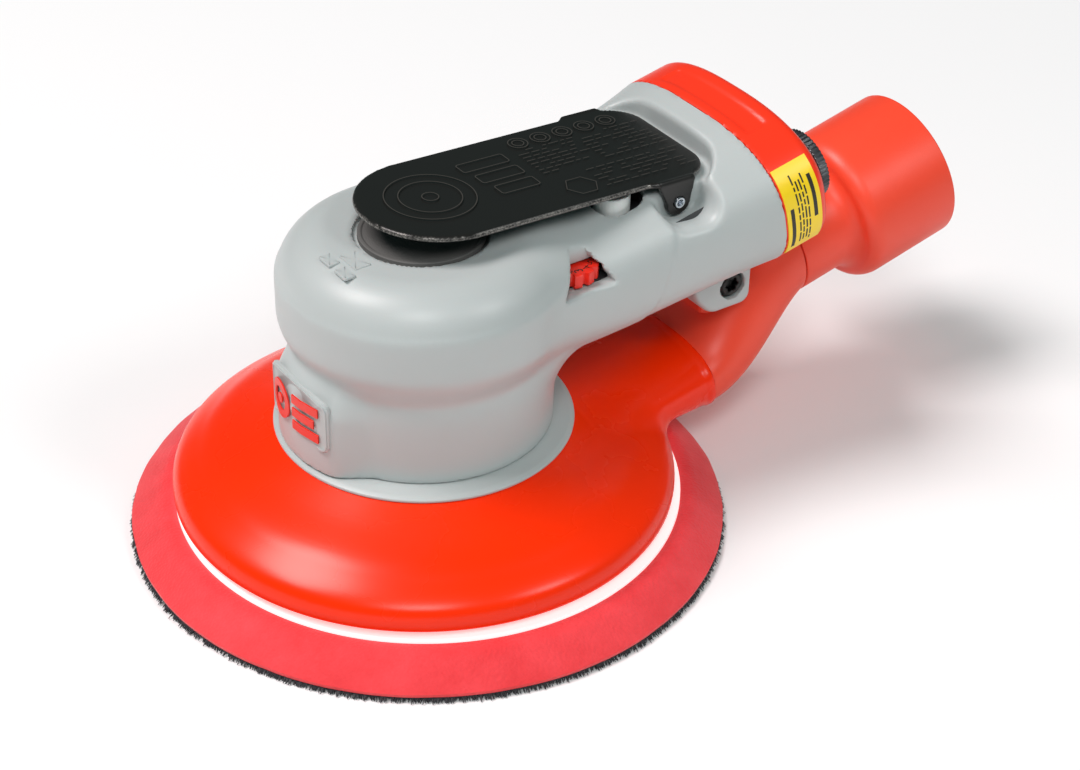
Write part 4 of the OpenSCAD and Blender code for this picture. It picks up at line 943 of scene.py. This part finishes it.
q = np.concatenate([[0.004, 0.008, 0.016], np.linspace(0.03, 0.97, 44), [0.985]])
rings = np.concatenate([tube_rings([0.004], 0.5), tube_rings(q, 0.1), tube_rings([1.0], 0.1),
                        spigot_rings([(14.2, 0.0), (spigot_r, 0.0), (spigot_r, 10.6), (12.1, 11.0), (10.55, 11.0),
                                      (10.55, -1.0)]),
                        tube_rings(q[::-1][2:], 2.0), tube_rings([0.004], 2.0), tube_rings([0.004], 0.5)])
satin_tube = plastic("satin_red_polymer", "#F84E32", 0.42, 0.45, 0.25, "#F24429", 1.5, scatter=0.08)
lug_w = 8.8
up = np.linspace(0, math.pi, 25)
lug_edge = np.concatenate([np.stack([screw_at[0] + 5 * np.cos(up), screw_at[2] + 5 * np.sin(up)], -1),
                           [[screw_at[0] - 3.5, screw_at[2] - 11.5], [screw_at[0] + 5, screw_at[2] - 15.0]]])
lug_points, lug_faces = stamped(lug_edge, [(0.5, -lug_w), (0, -lug_w + 0.5), (0, lug_w - 0.5), (0.5, lug_w)])
points, faces = together([(rings.reshape(-1, 3), quads(len(rings), 96)), (lug_points[:, [0, 2, 1]], lug_faces)])
welded("exhaust_tube", points, faces, satin_tube, 32.0, "body", "tube_red", "exhaust_tube")

# Hose cuff. The same polymer, turned on the spigot: a neck, a soft shoulder and a wide mouth for the hose.
bore_r, mouth_r = 18.5, 20.8
step_r = mouth_r - neck_out
shoulder = [(mouth_r - 0.5 * step_r * (1 - math.cos(a)), -24 - 4.6 * math.sin(a))
            for a in np.radians(range(0, 91, 10))]
shoulder += [(neck_out + 0.5 * step_r * (1 - math.cos(a)), -33.4 + 4.8 * math.sin(a))
             for a in np.radians(range(80, -1, -10))]
mouth = rounded([(bore_r, -22), (bore_r, 0), (mouth_r, 0), (mouth_r, -12)], 0.55, 6)
neck = rounded([(neck_out, -40), (neck_out, -cuff_l), (spigot_r + 0.15, -cuff_l), (spigot_r + 0.15, -33),
                (bore_r, -22)], 0.5, 5)
points, faces = turned(np.concatenate([mouth, shoulder, neck]), 160)
welded("hose_cuff", moved(points, cuff_rim, cuff_tilt, lay=True), faces, satin_tube,
       40.0, "cuff", "tube_red", "hose_cuff")

# Screw and nut of the fork. Steel, phosphate black, with a six-lobe drive; the nut is zinc-plated.
phosphate = metal("phosphated_steel", "#3E3D3C", 0.4, 0.3, 0.3, "#141414", 0.8)
zinc_plate = metal("bright_zinc_plate", "#CDD2D8", 0.2, 0.3, 0.15, "#9AA3AD")
drive_head_r, head_out, shank_r, shank_end = 3.4, 16.6, 2.0, 16.7
drive = [(0, head_out - 2.0), (1.7, head_out - 1.7), (1.75, head_out - 0.25), (1.95, head_out)]
screw_profile = drive + [(2.9, head_out), (drive_head_r, head_out - 0.5), (drive_head_r, head_out - 2.6),
                         (shank_r, head_out - 2.6), (shank_r, -shank_end), (0, -shank_end)]
points, faces = turned(screw_profile, 96, lambda a, r, z: np.where(
    (z > head_out - 1.9) & (r < 2.0), r * (1 + 0.16 * np.cos(6 * a)), r))
screw = piece_of("tube_screw", points[:, [0, 2, 1]] * [1, -1, 1] + [screw_at[0], 0, screw_at[2]], faces, phosphate,
                 30.0, weld=True)
fit(screw, "body", "screw_dark", "tube_screw")


def hexagon(a, corner):
    """Radius of a hexagon at an angle: the flat's distance over the cosine of the angle from its middle."""
    return corner * math.cos(math.pi / 6) / np.cos((a + math.pi / 6) % (math.pi / 3) - math.pi / 6)


nut_profile = [(2.05, 14.1), (3.6, 14.1), (4.0, 14.5), (4.0, 16.6), (3.6, 17.0), (2.3, 17.0), (2.05, 16.8),
               (2.05, 14.1)]
points, faces = turned(nut_profile, 96, lambda a, r, z: np.where(r > 3.0, np.minimum(hexagon(a, 3.95), r), r))
welded("tube_nut", points[:, [0, 2, 1]] + [screw_at[0], 0, screw_at[2]], faces, zinc_plate,
       25.0, "body", "steel", "tube_nut")

# ---------------------------------------------------------------------------------------------------
# Air inlet. Steel hexagon bushing, phosphated grey, tapped for a 1/4 inch pipe thread, with a knurled dark
# ring pressed on its end.
hex_corner, hex_start, hex_end, inlet_end = 9.8, cap_l, cap_l + 6.4, cap_l + 9.0
thread_pitch, bore = 1.41, 5.7
turns = np.arange(inlet_end - 1.0, inlet_end - 12.6, -thread_pitch / 2)
thread = [(bore + 0.45 * (i % 2), s) for i, s in enumerate(turns)]
bushing_outside = [(4.0, -15.9), (7.9, -15.9), (7.9, hex_start + 0.05), (8.6, hex_start + 0.05),
                   (hex_corner, hex_start + 0.7), (hex_corner, hex_end - 0.7), (9.1, hex_end), (7.8, hex_end),
                   (7.8, inlet_end - 0.3), (7.5, inlet_end), (6.5, inlet_end)]
bushing_bore = [(bore, inlet_end - 13.2), (5.0, inlet_end - 14.5), (5.0, inlet_end - 15.3), (4.0, inlet_end - 15.3),
                (4.0, -15.9)]
points, faces = turned(bushing_outside + thread + bushing_bore, 120, lambda a, r, z: np.where(
    r > 8.5, np.minimum(hexagon(a, hex_corner), r), r))
grey_steel = metal("grey_phosphated_steel", "#8A8B8C", 0.36, 0.35, 0.35, "#5E5F60")
bushing = piece_of("inlet_bushing", in_handle(moved(points, (0, inlet_y, inlet_z), lay=True)), faces, grey_steel,
                   25.0, weld=True)
fit(bushing, "body", "bushing_grey", "inlet_bushing")
teeth = 48
ring_steel = metal("dark_phosphated_steel", "#66676A", 0.4, 0.3, 0.3, "#3A3B3C", 0.6)
ring_profile = rounded([(8.1, hex_end + 0.05), (9.4, hex_end + 0.05), (9.4, inlet_end), (8.1, inlet_end),
                        (8.1, hex_end + 0.05)], 0.35, 4)
points, faces = turned(ring_profile, teeth * 6, lambda a, r, z: np.where(
    r > 9.0, r - 0.28 * np.abs(np.sin(teeth * a / 2)) ** 2, r))
knurled = piece_of("inlet_ring", in_handle(moved(points, (0, inlet_y, inlet_z), lay=True)), faces, ring_steel,
                   30.0, weld=True)
fit(knurled, "body", "ring_dark", "inlet_ring")

# ---------------------------------------------------------------------------------------------------
# Lever. Pressed steel sheet, 1.6 mm, satin black e-coat: rounded nose over the head, two ears bent down to
# the pivot, cut edges rubbed back to grey. Fine pale lines are etched in its top.
slope = math.radians(2.3)
lever_t, lever_half, nose_u, tail_u = 1.6, 19.5, -56.3, 12.0
sheet_at = pivot + [0, 0, 4.95]


def on_lever(points):
    """The lever's own coordinates (along, across, up from its underside) to the row's."""
    u, v, w = points.T
    return np.stack([sheet_at[0] + u * math.cos(slope) + w * math.sin(slope), v,
                     sheet_at[2] - u * math.sin(slope) + w * math.cos(slope)], -1)


def lever_outline(u, v):
    nose = np.hypot(np.minimum(u - nose_u, 0), v) - lever_half
    flat = rounded_max(nose, u - tail_u, 9.0)
    return rounded_min(flat, rounded_max(np.abs(v) - 20.95, np.abs(u + 1.0) - 6.0, 1.8), 1.5)


def lever_solid(p):
    u, v, w = p.T
    sheet = rounded_max(lever_outline(u, v), slab_between(w, 0, lever_t), 0.4)
    sheet = rounded_max(sheet, np.maximum(np.abs(v) - 21.0, w - lever_t), 1.4)
    t = np.clip((0.8 - w) / 5.75, 0, 1)
    leaf = np.hypot(u - 0.2 * t + 0.8 * (1 - t), w - 0.8 + 5.75 * t) - (5.6 - 2.0 * t)
    ear = rounded_max(rounded_max(leaf, slab_between(np.abs(v), 19.45, 20.95), 0.35), w - lever_t, 1.4)
    whole = rounded_min(sheet, ear, 0.5)
    hole = np.hypot(u - 0.2, w + 4.95) - 1.56
    return rounded_max(whole, -hole, 0.1)


# Electro-coated steel: near-black, satin, slight orange peel; its cut edges show grey metal in specks.
coated, shader, place = new_material("black_electrocoated_steel")
edge = add(coated, "Attribute", {"attribute_name": "cut_edge"})
peel = noise(coated, place, 900.0, 3.0)
rub = noise(coated, place, 2200.0, 4.0)
speck = add(coated, "MapRange", {"From Min": 0.38, "From Max": 0.62}, {"Value": (rub, "Fac")})
bare = add(coated, "Math", {"operation": "MULTIPLY"}, {0: (edge, "Fac"), 1: (speck, "Result")})
two_tones(coated, shader, "#191715", "#8E8B86", bare, "Value")
connect(coated, bare, "Value", shader, "Metallic")
drift = noise(coated, place, 35.0, 3.0)
spread = add(coated, "MapRange", {"To Min": 0.3, "To Max": 0.42}, {"Value": (drift, "Fac")})
connect(coated, spread, "Result", shader, "Roughness")
dented(coated, shader, 0.12, 0.0001, peel, "Fac")
lever = skin("throttle_lever", (np.arange(-77.2, 14, 0.55), np.arange(-22, 22.3, 0.55), np.arange(-9.8, 3.2, 0.5)),
             lever_solid, coated, place=on_lever)
co = np.empty(len(lever.data.vertices) * 3)
lever.data.vertices.foreach_get("co", co)
co = co.reshape(-1, 3) / MM - sheet_at
u = co[:, 0] * math.cos(slope) - co[:, 2] * math.sin(slope)
w = co[:, 0] * math.sin(slope) + co[:, 2] * math.cos(slope)
cut_edge = ((np.abs(w - 0.5) < 0.4) & (lever_outline(u, co[:, 1]) > -0.33)
            & ~((np.abs(u + 1) < 6.5) & (np.abs(co[:, 1]) > 19.6))).astype(np.float32)
lever.data.attributes.new("cut_edge", "FLOAT", "POINT").data.foreach_set("value", cut_edge)
fit(lever, "lever", "black_steel", "throttle_lever")

# Etched marks on the lever. Laser-burnt lines, 0.25 mm wide, warm grey: the pad sign large at the nose, a
# row of rings, a hexagon and rows of short dashes that stand for print.
a = np.linspace(0, 2 * math.pi, 73)


def circle(cx, cy, r, step=1):
    return np.stack([cx + r * np.cos(a[::step]), cy + r * np.sin(a[::step])], -1)


def closed_box(cx, cy, w, h, r):
    box = rounded_box(w, h, r, 5) + [cx, cy]
    return np.concatenate([box, box[:1]])


etched = [circle(-57.5, 0.5, 11.0), circle(-57.5, 0.5, 7.6), circle(-57.5, 0.5, 2.0, 2)]
etched += [closed_box(-37.5 + 0.6 * i, 8.6 - 6.6 * i, 6.6 - 0.6 * i, 2.1, 0.7) for i in range(3)]
for r, step in ((2.5, 2), (1.5, 4)):
    etched += [circle(-24.0 + 6.6 * i, 13.4, r, step) for i in range(5)]
etched += [circle(-23.0, -12.2, 4.2, 12)]
etch_rng, dash_share = np.random.default_rng(3), 0.72
for row_v in np.arange(-15.0, 10.0, 1.75):
    if abs(row_v + 4.0) < 1.0:
        continue
    start = -27.5 if row_v > -6.0 else -17.5
    while start < 8.0:
        length = etch_rng.uniform(1.0, 3.2)
        if etch_rng.uniform() < dash_share:
            etched.append(np.array([(start, row_v), (start + length / 2, row_v), (start + length, row_v)]))
        start += length + 0.7
points, faces = strips(etched, 0.26, lever_t - 0.05, lever_t + 0.015)
etch = plastic("laser_etch", "#413E3A", 0.55, 0.3, 0.2, "#33302C")
welded("lever_marks", on_lever(points), faces, etch, 30.0, "lever", "black_steel")

# Pivot pin. Zinc-plated rolled steel tube, its ends flared a little.
pin_low, pin_high = node_ends("lever_pin")
half = (pin_high[1] - pin_low[1]) / 2
pin_profile = [(0.75, -half + 0.4), (0.95, -half), (1.35, -half), (1.5, -half + 0.3), (1.5, half - 0.3), (1.35, half),
               (0.95, half), (0.75, half - 0.4), (0.75, -half + 0.4)]
points, faces = turned(pin_profile, 48)
welded("lever_pin", points[:, [0, 2, 1]] + pivot, faces, zinc_plate, 30.0, "body", "zinc", "lever_pin")

# Stem bushing. White acetal, pressed into its pocket; the ground stem slides in it.
bushing_low, bushing_high = node_ends("stem_bushing")
profile = rounded([(2.05, bushing_low[2]), (4.55, bushing_low[2]), (4.55, bushing_high[2]), (2.3, bushing_high[2]),
                   (2.05, bushing_high[2] - 0.3), (2.05, bushing_low[2])], 0.45, 5)
acetal = plastic("white_acetal", "#E4E6E4", 0.35, 0.5, 0.08, "#DBDDDB", 1.48, scatter=0.1)
points, faces = turned(profile, 64)
welded("stem_bushing", points + [stem_at[0], stem_at[1], 0], faces, acetal,
       30.0, "body", "grip_grey", "stem_bushing")

# Speed dial. Red acetal wheel with twelve lobes on a barrel, numbers printed in black on its top.
dial_r = (dial_high[1] - dial_low[1]) / 2
wheel_z, barrel_z = dial_high[2] - 3.5, dial_low[2]
dial_profile = rounded([(0, barrel_z), (4.4, barrel_z), (4.4, wheel_z), (dial_r, wheel_z), (dial_r, dial_high[2]),
                        (0, dial_high[2])], 0.35, 4)
points, faces = turned(dial_profile, 240, lambda t, r, z: np.where(
    r > 5.0, r - 1.15 * (r / dial_r) * np.clip((np.cos(12 * t) - 0.15) / 0.5, 0, 1), r))
dial_red = plastic("red_acetal", "#F2301F", 0.3, 0.5, 0.08, "#E8281A", 1.48)
welded("speed_dial", points + [dial_at[0], dial_at[1], 0], faces, dial_red,
       32.0, "dial", "cap_red", "speed_dial")
b = np.radians(np.linspace(150, -90, 13))
bowl_top = np.stack([0.42 * np.cos(b), 0.42 + 0.42 * np.sin(b)], -1)
bowl_low = np.stack([0.46 * np.cos(-b), -0.44 - 0.44 * np.sin(b)], -1)[::-1]
digits = {1: [[(-0.3, 0.5), (0, 0.85), (0, -0.85)]],
          2: [[(-0.45, 0.45), (-0.2, 0.8), (0.25, 0.8), (0.45, 0.4), (-0.45, -0.85), (0.5, -0.85)]],
          3: [bowl_top, bowl_low],
          4: [[(0.2, -0.85), (0.2, 0.85), (-0.5, -0.3), (0.5, -0.3)]],
          5: [[(0.45, 0.85), (-0.35, 0.85), (-0.4, 0.1), (0.1, 0.15), (0.45, -0.3), (0.1, -0.8), (-0.45, -0.7)]]}
number_paths = []
for digit, lines in digits.items():
    t = math.radians(-98 + 30 * (digit - 3))
    radial, tangent = np.array([math.cos(t), math.sin(t)]), np.array([math.sin(t), -math.cos(t)])
    for line in lines:
        line = np.asarray(line, float) * 1.15
        number_paths.append(dial_at[:2] + 5.0 * radial - line[:, :1] * radial + line[:, 1:] * tangent)
points, faces = strips(number_paths, 0.32, dial_high[2] - 0.1, dial_high[2] + 0.03)
welded("dial_numbers", points, faces, print_black, 30.0, "dial", "cap_red")
